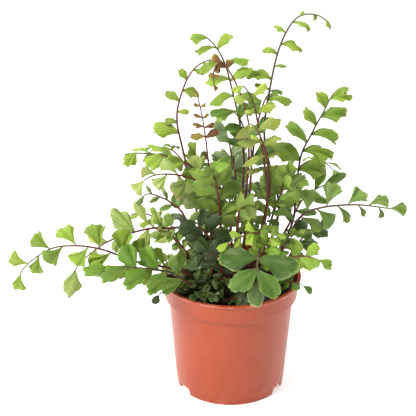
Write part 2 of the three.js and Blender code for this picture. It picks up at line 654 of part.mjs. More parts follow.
// Turns a leaflet about its own base: lift raises its tip towards its upper face, roll turns it on its length.
function turnLeaflet(leaflet, lift, roll, share) {
  const { out, across, face } = leaflet.frame;
  const [a, b] = [(leaflet.lift + lift) * RAD, (leaflet.roll + roll) * RAD];
  const raised = out.clone().multiplyScalar(Math.cos(a)).addScaledVector(face, Math.sin(a));
  const level = face.clone().multiplyScalar(Math.cos(a)).addScaledVector(out, -Math.sin(a));
  return {
    ...leaflet,
    out: raised,
    across: across.clone().multiplyScalar(Math.cos(b)).addScaledVector(level, Math.sin(b)),
    face: level.clone().multiplyScalar(Math.cos(b)).addScaledVector(across, -Math.sin(b)),
    length: leaflet.length * share,
  };
}

function boxesTouch(a, b) {
  return [0, 1, 2].every((k) => a.min[k] <= b.max[k] && b.min[k] <= a.max[k]);
}

function crosses(solid, others) {
  const box = solid.boundingBox();
  return others.some((other) => boxesTouch(box, other.box) && solid.intersect(other.solid).volume() > TOUCH);
}

const fronds = FRONDS.map((row, index) => {
  const line = stemLine(row);
  const stem = makeStem(line, row.girth);
  return { row, line, root: line.root, index, stem, blades: [] };
});
const pot = makePot();
const soil = makeSoil(fronds);
const taken = [pot, soil].map((solid) => ({ solid, box: solid.boundingBox(), owner: -1 }));
fronds.forEach(({ stem, index }) => taken.push({ solid: stem, box: stem.boundingBox(), owner: index }));

for (const frond of fronds) {
  const random = randomFrom(frond.index + 1);
  for (let i = 0; i < frond.row.leaflets.length; i++) {
    const leaflet = placeLeaflet(frond.row, frond.line, i, random);
    const others = taken.filter(({ owner }) => owner !== frond.index);
    const own = frond.blades.map((solid) => ({ solid, box: solid.boundingBox() }));
    const triesAt = (share) => DODGES.map(([lift, roll]) => turnLeaflet(leaflet, lift, roll, share));
    const isClear = (one) =>
      !crosses(makeBlade(one, BLADE + 2 * BLADE_CLEARANCE, 1.05), others) &&
      !crosses(makeBlade(one, BLADE + 2 * OWN_CLEARANCE, 1.02), own);
    const clear = DODGE_SIZES.flatMap(triesAt).find(isClear);
    if (clear) frond.blades.push(makeBlade(clear, BLADE, 1));
  }
  for (const blade of frond.blades) taken.push({ solid: blade, box: blade.boundingBox(), owner: frond.index });
}

const group = new THREE.Group();

function addNode(name, solid, colour, roughness) {
  const material = new THREE.MeshStandardMaterial({ color: colour, roughness, metalness: 0 });
  const mesh = new THREE.Mesh(geometryFrom(solid), material);
  mesh.name = name;
  group.add(mesh);
}

addNode("pot", pot, "#c8603f", 0.45);
addNode("soil", soil, "#2a1f18", 1);
for (const { row, stem, blades } of fronds)
  addNode("frond_" + row.name, wasm.Manifold.union([stem, ...blades]), TONES[row.tone], 0.6);

// The origin goes to the middle of the whole plant's box, on the surface that it stands on.
const box = new THREE.Box3().setFromObject(group);
group.position.set(-(box.min.x + box.max.x) / 2, -(box.min.y + box.max.y) / 2, 0);

export default group;
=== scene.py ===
"""The finish of a small potted fern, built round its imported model: the pot, the soil with its crumbs and
low sprouts, every frond with its thin veined leaflets, and the stage. Sizes in the tables are millimetres
from the pot's axis, at the level that the pot stands on; the meshes are in metres."""

import math

import bpy
import numpy as np
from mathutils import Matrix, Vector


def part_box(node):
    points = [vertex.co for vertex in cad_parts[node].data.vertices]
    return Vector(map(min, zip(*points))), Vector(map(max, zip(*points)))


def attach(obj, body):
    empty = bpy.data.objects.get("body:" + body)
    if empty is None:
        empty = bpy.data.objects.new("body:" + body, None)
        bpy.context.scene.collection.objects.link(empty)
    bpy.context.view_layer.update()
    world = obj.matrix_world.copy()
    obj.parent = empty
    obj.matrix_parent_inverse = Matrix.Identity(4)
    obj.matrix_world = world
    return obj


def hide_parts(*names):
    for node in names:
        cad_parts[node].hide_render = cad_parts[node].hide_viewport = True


bl_info = {
    "name": "Potted Fern",
    "version": (1, 0, 0),
    "blender": (4, 5, 0),
    "location": "View3D > Sidebar > Fern",
    "description": "Builds the finished pot, soil and fronds of a small potted fern",
    "category": "Object",
}

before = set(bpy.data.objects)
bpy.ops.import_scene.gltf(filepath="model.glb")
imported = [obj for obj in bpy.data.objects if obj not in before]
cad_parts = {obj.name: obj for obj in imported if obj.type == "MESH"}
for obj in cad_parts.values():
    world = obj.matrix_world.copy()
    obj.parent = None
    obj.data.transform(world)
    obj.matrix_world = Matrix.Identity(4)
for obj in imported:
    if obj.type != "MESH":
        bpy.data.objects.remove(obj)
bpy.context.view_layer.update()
POT_LOW, POT_HIGH = (np.array(corner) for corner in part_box("pot"))
AXIS = np.array([(POT_LOW[0] + POT_HIGH[0]) / 2, (POT_LOW[1] + POT_HIGH[1]) / 2, 0])
MM = 0.001

# Pot, in millimetres
POT_HEIGHT = 102.5
LIP_RADIUS = 60
BASE_RADIUS = 46.3
WALL = 1.2
BODY_TOP_RADIUS = 53.4
BODY_TOP = 84
BAND_BOTTOM_RADIUS = 56.8
BAND_TOP_RADIUS = 58.2
BAND_TOP = 99.6
FLOOR_UNDERSIDE = 5.2
FLOOR_TOP = 7
FOOT_LINE = 8.5
NOTCH_AZIMUTHS = (-59, 61, 181)
NOTCH_HEIGHT = 5
NOTCH_HALF_WIDTH = 8.17
NOTCH_SIDE_SLOPE = 3
SKIRT_TOP = 9
DRAIN_COUNT = 6
DRAIN_RADIUS = 4.5
DRAIN_CIRCLE = 29
FLOOR_POINTS = 12

# Soil, in millimetres. CRUMB_RISE is where the rings of a crumb lie, in degrees above its middle, and
# FIBRE_GIRTH how thick a fibre is from end to end, as shares.
SOIL_LEVEL = 93
SOIL_BUMP = 1.6
SOIL_RADIUS = 56.0
SOIL_BOTTOM = 7.4
SOIL_GAP = 0.3
SOIL_RINGS = 90
SOIL_COLUMNS = 240
CRUMB_RISE = (-65, -25, 20, 62)
CRUMB_SIDES = 7
FIBRE_GIRTH = (0.4, 0.8, 1, 1, 0.9, 0.7, 0.3)
FIBRE_SIDES = 5

# Stems, in millimetres, or as shares of their length
FOOT_HEIGHT = 1.5
ROOT_DEPTH = 6
STEM_STEP = 40
TIP_LEAFLET_RUN = 0.85
LEAST_KNOT = 0.02
TIP_SHARE = 0.995
PAIR_STEP = 0.25
STEM_SIDES = 10
STEM_RING_GAP = 2.5
ROOT_SWELL = 0.5
ROOT_SWELL_LENGTH = 5

# How leaflets stand: their angles to the stem, lowest and highest, and how much each may differ, in degrees
# and as shares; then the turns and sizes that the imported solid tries, to keep them clear of each other. The
# right turn is the one where most of the margin's corners are corners of the solid.
SPREAD = (68, 42)
LIFT_FOR_BEND = 0.25
LEAST_BEND = 6
VARY = dict(angle=10, lift=12, roll=20, size=0.06, bend=0.35)
DODGES = [(0, 0), (20, 0), (-20, 0), (0, 28), (0, -28), (36, 15), (-36, -15), (50, 0), (-50, 0)]
DODGE_SIZES = (1, 0.78, 0.6)
MATCH_REACH = 0.06
MATCH_SHARE = 0.6
CAD_BLADE = 0.7

# Leaflets, in millimetres: the stalk, the spacing of lumps both ways, and where the margin's band fades
SMALL_LEAFLET = 16
STALK_HALF_WIDTH = 0.35
LUMPS = (1.5, 1.2)
RIM_BAND = (0.3, 2.2)

# Leaflet outlines, in leaflet lengths. shoulder is where the straight sides end, half_width is there, lobe
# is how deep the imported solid's margin is drawn in between its corners and upper how much wider the side
# towards the frond's tip is. low_side and high_side above 1 hollow the lower and upper side and below 1 fill
# them. notch is how deep the few irregular notches are, and teeth and tooth are the margin's fine scallops.
FORMS = dict(
    fan=dict(shoulder=0.76, half_width=0.43, lobe=0.05, upper=1.1, low_side=1.6, high_side=1.5,
             notch=0.09, teeth=8, tooth=0.025),
    wedge=dict(shoulder=0.5, half_width=0.36, lobe=0.04, upper=1.2, low_side=1.25, high_side=0.75,
               notch=0.15, teeth=6.5, tooth=0.06),
    oblong=dict(shoulder=0.48, half_width=0.3, lobe=0.02, upper=1.15, low_side=1.15, high_side=0.85,
                notch=0.14, teeth=6.5, tooth=0.05),
    narrow=dict(shoulder=0.45, half_width=0.2, lobe=0.03, upper=1.15, low_side=1.0, high_side=0.85,
                notch=0.06, teeth=11, tooth=0.03),
    round=dict(shoulder=0.44, half_width=0.42, lobe=0, upper=1.0, low_side=0.8, high_side=0.8,
               notch=0.04, teeth=9, tooth=0.012),
)


def frond(name, tone, form, **row):
    """A frond: its name, its leaflets' tone and form, and what is its own."""
    return dict(row, name=name, tone=tone, form=form)


# What the low fronds share
LOW = dict(bare=0.2, bend=20, girth=0.72, paired=True)

# Every frond. path: the root on the soil as [x, y], then points that the stem passes through, up to the tip
# of its last leaflet. leaflets: their lengths from the lowest to the last, below zero on the left as the
# frond's face is looked at with its tip up. bare: the share of the stem with no leaflets. paired: leaflets
# stand two and two. face: the way that the frond's upper side looks. light: where the leaflets turn theirs,
# if not the same way. bend: how far a leaflet arches over its length, in degrees. girth: the stem's
# thickness as a share of the others'. spread: its own angles between the stem and the lowest and highest
# leaflets.
FRONDS = [
    frond("tall_right", "bright", "oblong", bare=0.585, bend=84, face=[0.1, -1, 0.3], light=[0.1, -0.4, 1],
        spread=[76, 44],
        path=[[21, 12], [40, 6, 158], [27, 6, 223], [32, 8, 275], [40, 10, 307], [52, 10, 326],
            [68, 8, 328], [80, 5, 318]],
        leaflets=[-16, 25, -14, -25, 12, -16, 20, -13, 18, -6, 8, 11]),
    frond("tall_left", "bright", "oblong", bare=0.67, bend=88, face=[-0.1, -1, 0.4], light=[-0.1, -0.4, 1],
        spread=[78, 60], paired=True,
        path=[[0, 14], [10, 10, 186], [8, 8, 227], [2, 5, 258], [-7, 0, 293], [-20, -4, 313],
            [-34, -10, 317]],
        leaflets=[22, -24, 24, -24, 24, -25, 23, -25, 19, -20, 18]),
    frond("red_droop", "red", "wedge", bare=0.872, bend=40, face=[-0.5, -0.8, 0.2], girth=0.8, paired=True,
        path=[[6, 2], [15, -6, 179], [15, -11, 229], [9, -16, 263], [-1, -20, 288], [-9, -24, 299],
            [-15, -28, 294], [-14, -31, 277]],
        leaflets=[10, -10, 10, -9, 8, -7, 6]),
    frond("red_young", "red", "oblong", bare=0.78, bend=35, face=[0, -1, 0.3], light=[0, -0.7, 0.8],
        girth=0.8, paired=True,
        path=[[-14, 0], [-16, -6, 165], [-20, -12, 218], [-24, -14, 250], [-29, -15, 273]],
        leaflets=[13, -14, 10, -10, 7, -8, 6, -6, 6]),
    frond("thin_left", "mid", "oblong", bare=0.63, bend=66, face=[-0.2, -1, 0.3], light=[-0.2, -0.6, 0.9],
        spread=[76, 55],
        path=[[-20, 12], [-31, 9, 168], [-40, 9, 211], [-45, 8, 242], [-39, 6, 269], [-30, 6, 285],
            [-18, 8, 291], [-7, 10, 290]],
        leaflets=[-25, -15, 11, -14, 16, -12, 11, 8, 9]),
    frond("centre_top", "pale", "oblong", bare=0.67, bend=76, face=[0.1, -0.8, 0.7], light=[0.1, -0.45, 1],
        spread=[78, 54], paired=True,
        path=[[13, -2], [29, -8, 170], [26, -11, 212], [21, -14, 242], [16, -19, 266], [8, -26, 281],
            [-2, -34, 286]],
        leaflets=[18, -22, 22, -24, 22, -22, 20, -18, 16]),
    frond("right_upright", "mid", "oblong", bare=0.484, bend=58, face=[0.1, -1, 0.35],
        light=[0.1, -0.7, 0.8], spread=[76, 40],
        path=[[32, 8], [51, 6, 145], [54, 6, 173], [57, 6, 207], [65, 8, 226], [75, 8, 247], [83, 6, 264],
            [93, 0, 269]],
        leaflets=[-16, -24, 27, -30, 30, -27, 28, -21, 24, -18, 19, 14]),
    frond("right_long", "mid", "fan", bare=0.36, bend=30, face=[0, -1, 0.5], light=[0, -0.45, 1],
        path=[[30, -4], [50, -8, 146], [60, -10, 163], [75, -12, 170], [92, -14, 173], [107, -16, 174],
            [121, -18, 173], [132, -19, 172], [143, -20, 173]],
        leaflets=[19, -20, 21, -20, 20, -20, 18, -20, 12, -18, 10, 16]),
    frond("left_long", "bright", "fan", bare=0.32, bend=22, face=[0, -1, 0.5],
        path=[[-16, -14], [-39, -34, 121], [-59, -48, 134], [-81, -58, 144], [-101, -66, 157],
            [-122, -72, 164], [-144, -76, 163], [-165, -80, 148], [-171, -82, 131]],
        leaflets=[19, -20, 21, -20, 22, -20, 21, -20, 19, -18, 18, -16, 16, 16]),
    frond("left_lower", "bright", "wedge", bare=0.32, bend=22, face=[0, -1, 0.45],
        path=[[-22, -24], [-46, -50, 127], [-64, -62, 138], [-83, -70, 144], [-102, -76, 147],
            [-114, -80, 145]],
        leaflets=[-24, 26, -27, 25, -24, 23, -22, 22]),
    frond("left_red", "pale", "oblong", bare=0.4, bend=25, face=[0, -1, 0.4],
        path=[[-20, 4], [-35, -2, 142], [-55, -8, 149], [-71, -14, 151], [-97, -24, 147], [-112, -30, 140],
            [-128, -36, 126], [-136, -40, 105]],
        leaflets=[-16, 16, -18, 27, -16, 20, -20, 14, 24]),
    frond("front_big", "mid", "oblong", bare=0.8, bend=28, face=[0, -1, 0.25], spread=[92, 12],
        paired=True,
        path=[[14, -16], [23, -37, 142], [21, -52, 148], [20, -65, 141], [20, -72, 127], [18, -77, 110]],
        leaflets=[36, -35, 30, -27, 28]),
    frond("front_bright", "bright", "oblong", bare=0.475, bend=30, face=[0, -0.8, 0.7], paired=True,
        path=[[10, -9], [24, -24, 146], [19, -34, 157], [6, -42, 157], [-13, -52, 152]],
        leaflets=[12, -17, 13, -17, 12, -14, 12, -12, 13]),
    frond("left_top", "bright", "wedge", bare=0.52, bend=60, face=[-0.2, -0.35, 1],
        path=[[-10, 9], [-20, 4, 180], [-33, 0, 201], [-48, -4, 211], [-66, -10, 217], [-86, -16, 219],
            [-98, -22, 211]],
        leaflets=[22, -23, 24, -24, 27, -21, 18, -18, 17]),
    frond("left_broad", "pale", "fan", bare=0.46, bend=35, face=[0, -0.9, 0.6],
        path=[[-12, -6], [-20, -18, 176], [-25, -24, 196], [-36, -30, 205], [-52, -38, 211],
            [-66, -44, 211], [-79, -50, 202]],
        leaflets=[20, -22, 22, -24, 22, -22, 18, -16, 14, 15]),
    frond("centre_pale", "pale", "narrow", bare=0.62, bend=78, face=[0, -1, 0.35], light=[0.1, -0.4, 1],
        paired=True,
        path=[[18, 4], [31, -3, 173], [28, -18, 216], [21, -32, 243], [13, -44, 256], [2, -56, 254]],
        leaflets=[10, -20, 14, -25, 20, -25, 21, -21, 19]),
    frond("centre_leaf", "mid", "oblong", bare=0.66, bend=55, face=[-0.2, -0.7, 0.7],
        light=[-0.1, -0.5, 0.9],
        path=[[4, 7], [14, 4, 200], [10, 0, 234], [1, -6, 252], [-15, -14, 259]],
        leaflets=[20, -22, 24, -20, 16, 22]),
    frond("right_slender", "mid", "narrow", bare=0.42, bend=25, face=[0, -0.8, 0.7],
        path=[[28, 20], [50, 25, 137], [62, 30, 159], [76, 34, 168], [98, 38, 177]],
        leaflets=[18, -20, 20, -24, 20, -24, 22]),
    frond("right_mid", "mid", "wedge", bare=0.56, bend=30, face=[0, -1, 0.4],
        path=[[24, 5], [40, 2, 160], [42, -6, 188], [46, -13, 203], [50, -20, 212]],
        leaflets=[22, -24, 25, -26, 24, -24, 20, -18, 15]),
    frond("right_dark", "dark", "wedge", bare=0.4, bend=25, face=[0.1, -1, 0.5],
        path=[[36, 0], [54, -2, 128], [64, -1, 141], [74, 0, 146], [85, 2, 149]],
        leaflets=[14, -15, 17, -17, 16, 15]),
    frond("right_bright", "bright", "wedge", bare=0.4, bend=25, face=[0.1, -0.9, 0.6],
        path=[[31, -20], [46, -36, 132], [58, -44, 141], [69, -50, 141], [80, -54, 136]],
        leaflets=[15, -15, 17, -17, 16, -15, 12, 12]),
    frond("left_pale", "pale", "narrow", bare=0.5, bend=25, face=[-0.2, -1, 0.3],
        path=[[-26, 12], [-47, 20, 124], [-61, 26, 130], [-72, 31, 137], [-84, 36, 152]],
        leaflets=[14, -14, 14, -13, 12, 24]),
    frond("left_mid", "mid", "narrow", bare=0.5, bend=40, face=[-0.2, -0.7, 0.7],
        path=[[-24, 2], [-38, 6, 150], [-50, 5, 166], [-60, 3, 173], [-71, -1, 177], [-79, -6, 169]],
        leaflets=[16, -16, 14, -14, 12, -12, 9, 12]),
    frond("centre_bright", "bright", "wedge", bare=0.55, bend=40, face=[0, -0.8, 0.7],
        path=[[-6, -10], [-10, -24, 173], [-13, -32, 200], [-15, -42, 217], [-7, -54, 226]],
        leaflets=[20, -22, 23, -24, 22, -24, 20, -16, 16]),
    frond("centre_mid", "pale", "oblong", bare=0.58, bend=40, face=[0, -0.7, 0.8],
        path=[[3, -13], [5, -27, 160], [6, -36, 178], [11, -47, 187], [16, -60, 184]],
        leaflets=[20, -20, 20, -19, 17, -16, 16]),
    frond("inner_dark", "dark", "wedge", bare=0.42, bend=25, face=[-0.2, -1, 0.4],
        path=[[-15, -18], [-18, -32, 146], [-24, -39, 163], [-32, -45, 173], [-45, -52, 177]],
        leaflets=[20, -22, 22, -22, 24, -20, 18, -17, 16]),
    frond("inner_low", "dark", "wedge", bare=0.36, bend=25, face=[-0.1, -0.9, 0.5],
        path=[[-7, -22], [-9, -36, 130], [-14, -44, 142], [-23, -52, 147], [-36, -60, 140]],
        leaflets=[17, -18, 20, -20, 20, -18, 17, -15, 14]),
    frond("back_dark", "dark", "wedge", bare=0.56, bend=35, face=[-0.2, -0.6, 0.8],
        path=[[-6, 20], [4, 27, 169], [0, 31, 200], [-4, 34, 217], [-14, 37, 225]],
        leaflets=[18, -19, 21, -20, 19, -16, 15]),
    frond("back_high", "mid", "oblong", bare=0.51, bend=40, face=[0.2, 0.7, 0.8],
        path=[[10, 22], [16, 34, 165], [20, 42, 207], [26, 50, 234], [34, 60, 246], [43, 72, 242]],
        leaflets=[25, -26, 25, -23, 20, -16, 15]),
    frond("back_left", "mid", "fan", bare=0.42, bend=35, face=[-0.3, 0.5, 0.9],
        path=[[-16, 26], [-28, 42, 150], [-38, 56, 176], [-50, 70, 187], [-64, 84, 184], [-76, 96, 170]],
        leaflets=[24, -25, 25, -23, 20, -17, 16]),
    frond("back_right", "bright", "fan", bare=0.42, bend=35, face=[0.3, 0.5, 0.9],
        path=[[24, 30], [40, 46, 146], [54, 60, 168], [70, 74, 176], [86, 86, 168], [98, 96, 150]],
        leaflets=[-23, 24, -25, 23, -20, 17, 16]),
    frond("back_out", "mid", "wedge", bare=0.36, bend=30, face=[0, 0.4, 1],
        path=[[2, 32], [0, 56, 138], [-2, 74, 154], [-4, 94, 158], [-6, 114, 148], [-8, 130, 130]],
        leaflets=[24, -26, 26, -24, 21, -17, 17]),
    frond("back_low", "bright", "wedge", bare=0.38, bend=30, face=[-0.3, 0.4, 0.9],
        path=[[-34, 20], [-52, 36, 124], [-66, 50, 132], [-82, 64, 130], [-96, 74, 118]],
        leaflets=[-18, 20, -21, 20, -18, 16, 15]),
    frond("low_left", "dark", "round", face=[-0.2, -0.5, 0.9], **LOW,
        path=[[-36, -20], [-44, -30, 104], [-50, -38, 109], [-57, -45, 109], [-64, -52, 103]],
        leaflets=[9, -10, 10, -10, 8, -9, 8]),
    frond("low_front", "dark", "round", face=[0, -0.7, 0.8], **LOW,
        path=[[-18, -34], [-20, -42, 103], [-26, -47, 105], [-35, -50, 104]],
        leaflets=[8, -8, 9, -9, 8, -8, 8]),
    frond("low_middle", "dark", "round", face=[0, -0.7, 0.8], **LOW,
        path=[[-2, -34], [4, -42, 101], [12, -46, 102], [21, -48, 101]],
        leaflets=[8, -9, 9, -9, 8, -8, 8]),
    frond("low_right", "mid", "round", face=[0.2, -0.6, 0.8], **LOW,
        path=[[36, -14], [43, -22, 104], [50, -28, 109], [58, -33, 109], [66, -37, 104]],
        leaflets=[9, -9, 10, -10, 9, -8, 9]),
    frond("low_back", "mid", "round", face=[0.2, 0.5, 0.9], **LOW,
        path=[[34, 30], [40, 37, 104], [45, 42, 107], [52, 48, 106], [60, 54, 99]],
        leaflets=[9, -9, 10, -10, 9, -8, 9]),
]

# What sets a frond's finish apart. leaf, rim, stem and tip: the colours of its leaflets, their margin, its
# stem and the stem's end. rim_share: how strong the margin's colour is. curl: how far the two halves of a
# leaflet fold up along its middle, or down below zero, as a slope.
LIME = (0.36, 0.52, 0.13)
TAN = (0.42, 0.26, 0.11)
PINK = (0.5, 0.3, 0.19)
BROWN = (0.2, 0.1, 0.03)
OLIVE = (0.36, 0.34, 0.05)
ACCENTS = dict(
    front_big=dict(leaf=(0.075, 0.15, 0.02), rim=LIME, rim_share=0.85, stem=(0.12, 0.11, 0.05)),
    front_bright=dict(leaf=(0.3, 0.46, 0.04), rim=LIME, rim_share=0.3, curl=-0.4),
    back_dark=dict(leaf=(0.2, 0.28, 0.12), rim=LIME, rim_share=0.1),
    centre_mid=dict(leaf=(0.135, 0.195, 0.03), rim=OLIVE, rim_share=0.4),
    left_lower=dict(leaf=(0.105, 0.21, 0.018), rim=LIME, rim_share=0.4, stem=(0.09, 0.07, 0.045)),
    tall_right=dict(rim=BROWN, rim_share=0.45, stem=(0.15, 0.09, 0.055)),
    tall_left=dict(rim=LIME, rim_share=0.25, stem=(0.16, 0.07, 0.045), curl=-0.3),
    thin_left=dict(leaf=(0.2, 0.3, 0.025), rim=BROWN, rim_share=0.7, stem=(0.25, 0.06, 0.05)),
    left_broad=dict(leaf=(0.26, 0.34, 0.085), rim=PINK, rim_share=0.6),
    left_red=dict(rim=TAN, rim_share=0.2, stem=(0.2, 0.03, 0.035)),
    left_long=dict(leaf=(0.195, 0.305, 0.03), rim=LIME, rim_share=0.15),
    centre_pale=dict(leaf=(0.25, 0.32, 0.065), rim=TAN, rim_share=0.45, curl=-0.7),
    centre_top=dict(leaf=(0.38, 0.5, 0.08), rim=TAN, rim_share=0.4, curl=-0.8),
    right_upright=dict(leaf=(0.19, 0.32, 0.03), rim=OLIVE, rim_share=0.7, stem=(0.05, 0.012, 0.016)),
    sprout=dict(leaf=(0.042, 0.068, 0.014), rim=LIME, rim_share=0.4),
    young_sprout=dict(leaf=(0.14, 0.21, 0.022), rim=LIME, rim_share=0.3),
    inner_mid=dict(leaf=(0.17, 0.26, 0.042), rim=LIME, rim_share=0.15),
    inner_dark_small=dict(leaf=(0.042, 0.068, 0.016), rim=LIME, rim_share=0.1),
    centre_bright=dict(leaf=(0.155, 0.25, 0.032), rim=LIME, rim_share=0.25),
    right_bright=dict(leaf=(0.21, 0.33, 0.03), rim=LIME, rim_share=0.3),
    right_mid=dict(leaf=(0.17, 0.26, 0.035), rim=LIME, rim_share=0.15),
    left_mid=dict(leaf=(0.18, 0.27, 0.06), rim=LIME, rim_share=0.15),
    right_long=dict(leaf=(0.14, 0.225, 0.04), rim=LIME, rim_share=0.15, stem=(0.12, 0.05, 0.03)),
    right_dark=dict(leaf=(0.055, 0.1, 0.02), rim=LIME, rim_share=0.1),
    red_young=dict(rim=BROWN, rim_share=0.5, stem=(0.3, 0.03, 0.04), tip=(0.13, 0.04, 0.035), curl=-0.6),
    red_droop=dict(rim=OLIVE, rim_share=0.5, stem=(0.26, 0.05, 0.035), tip=(0.15, 0.06, 0.03), curl=-0.6),
)
STEM_LOW = (0.14, 0.024, 0.015)
STEM_MIDDLE = (0.2, 0.046, 0.024)
STEM_HIGH = (0.2, 0.24, 0.06)
STEM_STOPS = (0, 0.4, 0.68, 0.95)
SLOTS = dict(bright="leaf_bright", pale="leaf_pale", mid="leaf_mid", dark="leaf_dark", red="leaf_young_red")

# Colours that materials mix in
YELLOWED = (0.46, 0.44, 0.05)
STALK = (0.16, 0.09, 0.035)
UNDERSIDE = (0.32, 0.42, 0.17)
DUST = (0.62, 0.3, 0.2)
SOIL_SPECK = (0.045, 0.025, 0.015)
# Painted highlight: the colour of the broken light line round the lip
LIP_HIGHLIGHT = (0.8, 0.36, 0.27)
# Painted shade: the dark colour put in the creases under the band and the lip
PAINTED_SHADE = (0.16, 0.05, 0.025)
DRY_SOIL = (0.14, 0.075, 0.035)
SOIL_LIGHT = (0.06, 0.036, 0.022)

# Dark and light colour of the crumbs and the fibres
CRUMB_COLOURS = ((0.035, 0.02, 0.013), (0.12, 0.07, 0.04))
FIBRE_COLOURS = ((0.1, 0.055, 0.03), (0.28, 0.18, 0.1))

# Each tone's roughness, strength of the shine, and how far patches of a leaflet turn yellow
LEAF_FINISH = dict(
    bright=(0.42, 0.36, 0.1), pale=(0.46, 0.36, 0.14), mid=(0.38, 0.38, 0.04), dark=(0.3, 0.42, 0),
    red=(0.46, 0.32, 0.5),
)

# Veins across a leaflet near its stalk; each fork doubles them
VEINS = 7

# What each leaflet draws for its relief, in leaflet lengths, and for its colour, as shares; how much lighter
# a frond's last leaflet is, and how strong a margin's colour is where ACCENTS has none
RELIEF = dict(cup=(0.03, 0.24), wave=(0.03, 0.095), waves=(1.2, 2.8), droop=(0, 0.09), fold=(-0.1, 0.28),
              lumps=(0.012, 0.028), turn=(0, 6))
SHADES = dict(light=(0.74, 1.22), warmth=(-0.05, 0.07), rim=(0.5, 1.2))
TIP_LIGHTER = 0.12
PLAIN_RIM = 0.12

# Small fronds in the middle of the clump: tone, longest leaflet, and path as above. INNER is what they
# share, INNER_FINISH names the row of ACCENTS for two of the tones, and INNER_SIZES gives the leaflets as
# shares of the longest.
INNER = dict(form="wedge", girth=0.55, bare=0.42, bend=40, face=(0, -0.8, 0.7), light=(0, -0.5, 0.9))
INNER_FINISH = dict(mid="inner_mid", dark="inner_dark_small")
INNER_SIZES = (0.8, -0.9, 1, -1, 1, -0.95, 0.9, -0.85, 0.8, -0.7, 0.7)
INNER_FRONDS = [
    ("mid", 13, [[-8, -2], [-14, -10, 150], [-22, -16, 178], [-30, -22, 190]]),
    ("mid", 13, [[16, 2], [26, -4, 140], [34, -8, 165], [44, -10, 182]]),
    ("dark", 12, [[-12, -8], [-22, -18, 132], [-32, -24, 150], [-44, -28, 158]]),
    ("pale", 10, [[-24, -8], [-40, -20, 116], [-54, -28, 128], [-68, -34, 134]]),
    ("mid", 10, [[-22, 2], [-38, -4, 126], [-52, -8, 146], [-64, -10, 158]]),
    ("dark", 12, [[-4, -16], [-6, -26, 126], [-12, -33, 142], [-20, -38, 152]]),
    ("bright", 15, [[14, -10], [26, -30, 138], [31, -40, 156], [43, -47, 162]]),
    ("mid", 11, [[24, -8], [38, -14, 128], [50, -18, 146], [60, -20, 154]]),
    ("dark", 14, [[-2, 12], [-6, 16, 160], [-14, 20, 190], [-24, 22, 206]]),
    ("mid", 13, [[10, 14], [16, 18, 150], [22, 20, 172], [28, 22, 184]]),
    ("mid", 13, [[-10, 22], [-16, 34, 150], [-24, 44, 172], [-34, 52, 178]]),
    ("dark", 13, [[14, 26], [22, 38, 150], [32, 48, 168], [42, 56, 170]]),
    ("mid", 13, [[0, 28], [2, 40, 160], [6, 52, 186], [10, 62, 192]]),
]

# Sprouts near the soil: what they share, their leaflets, where they may root, in millimetres from the pot's
# axis, how far out they may reach, and their finishes with the share of each
SPROUT = dict(tone="dark", form="round", girth=0.5, paired=True, bare=0.35, bend=25)
SPROUT_SIZES = (0.9, -1, 1, -1, 0.95, -0.9, 0.8)
SPROUT_RING = (20, 44)
SPROUT_REACH = 51
SPROUT_FINISHES = dict(sprout=0.86, young_sprout=0.14)

# Where the random draws of each group of fronds start: for how the leaflets stand, and for their finish
SPROUT_SEEDS = (900, 500)
INNER_SEEDS = (700, 800)
FROND_SEEDS = (1, 100)

# Rows and columns of a leaflet's grid: for the smallest, for the inner ones, and for those over a length
SMALL_GRID = (4, 9)
INNER_GRID = (5, 13)
GRIDS = {24: (13, 85), SMALL_LEAFLET: (9, 51), 10: (7, 29), 0: (6, 17)}

# Camera: where it looks, in millimetres, and from how far
VIEW_TARGET = (-19.5, 0, 164)
VIEW_DISTANCE = 1170
VIEW_PITCH = 24.5
FOCAL_PIXELS = 1400
FRAME_PIXELS = 416
SENSOR = 36

# Floor and lights, in metres. Each light: its name, its place, its width and its share of the key's power.
FLOOR_HALF = 6
LIGHT_TARGET = (0, 0, 0.15)
LIGHTS = [
    ("key", (-1.1, -0.9, 1.3), 0.5, 1),
    ("top", (0.3, 0.35, 1.5), 1, 0.45),
    ("left card", (-1.2, 0.75, 0.35), 0.9, 0.1),
    ("right card", (1.2, 0.75, 0.35), 0.9, 0.1),
]


def colour_setting(name, description, default):
    """A colour that the user may change."""
    return bpy.props.FloatVectorProperty(
        name=name, description=description, subtype="COLOR", size=3, min=0, max=1, default=default,
    )


def number_setting(name, description, low, high, default, **kind):
    """A number that the user may change, with its unit or subtype where one fits."""
    return bpy.props.FloatProperty(
        name=name, description=description, min=low, max=high, default=default, **kind,
    )


def count_setting(name, description, low, high, default):
    """A whole number that the user may change."""
    return bpy.props.IntProperty(name=name, description=description, min=low, max=high, default=default)


class FernPotSettings(bpy.types.PropertyGroup):
    """The pot's look."""

    plastic: colour_setting("Plastic", "Colour of the pot", (0.405, 0.064, 0.019))
    roughness: number_setting("Roughness", "Surface roughness of the plastic", 0, 1, 0.34, subtype="FACTOR")
    columns: count_setting("Columns", "Number of faces round the pot", 48, 720, 288)


class FernSoilSettings(bpy.types.PropertyGroup):
    """The soil and what lies on it."""

    soil: colour_setting("Soil", "Colour of the moist soil", (0.02, 0.013, 0.009))
    grain: number_setting("Grain", "Height of the soil's fine bumps", 0, 0.003, 0.0008, unit="LENGTH")
    crumbs: count_setting("Crumbs", "Number of loose crumbs", 0, 3000, 900)
    fibres: count_setting("Fibres", "Number of loose fibres", 0, 400, 120)
    sprouts: count_setting("Sprouts", "Number of low young fronds", 0, 80, 34)


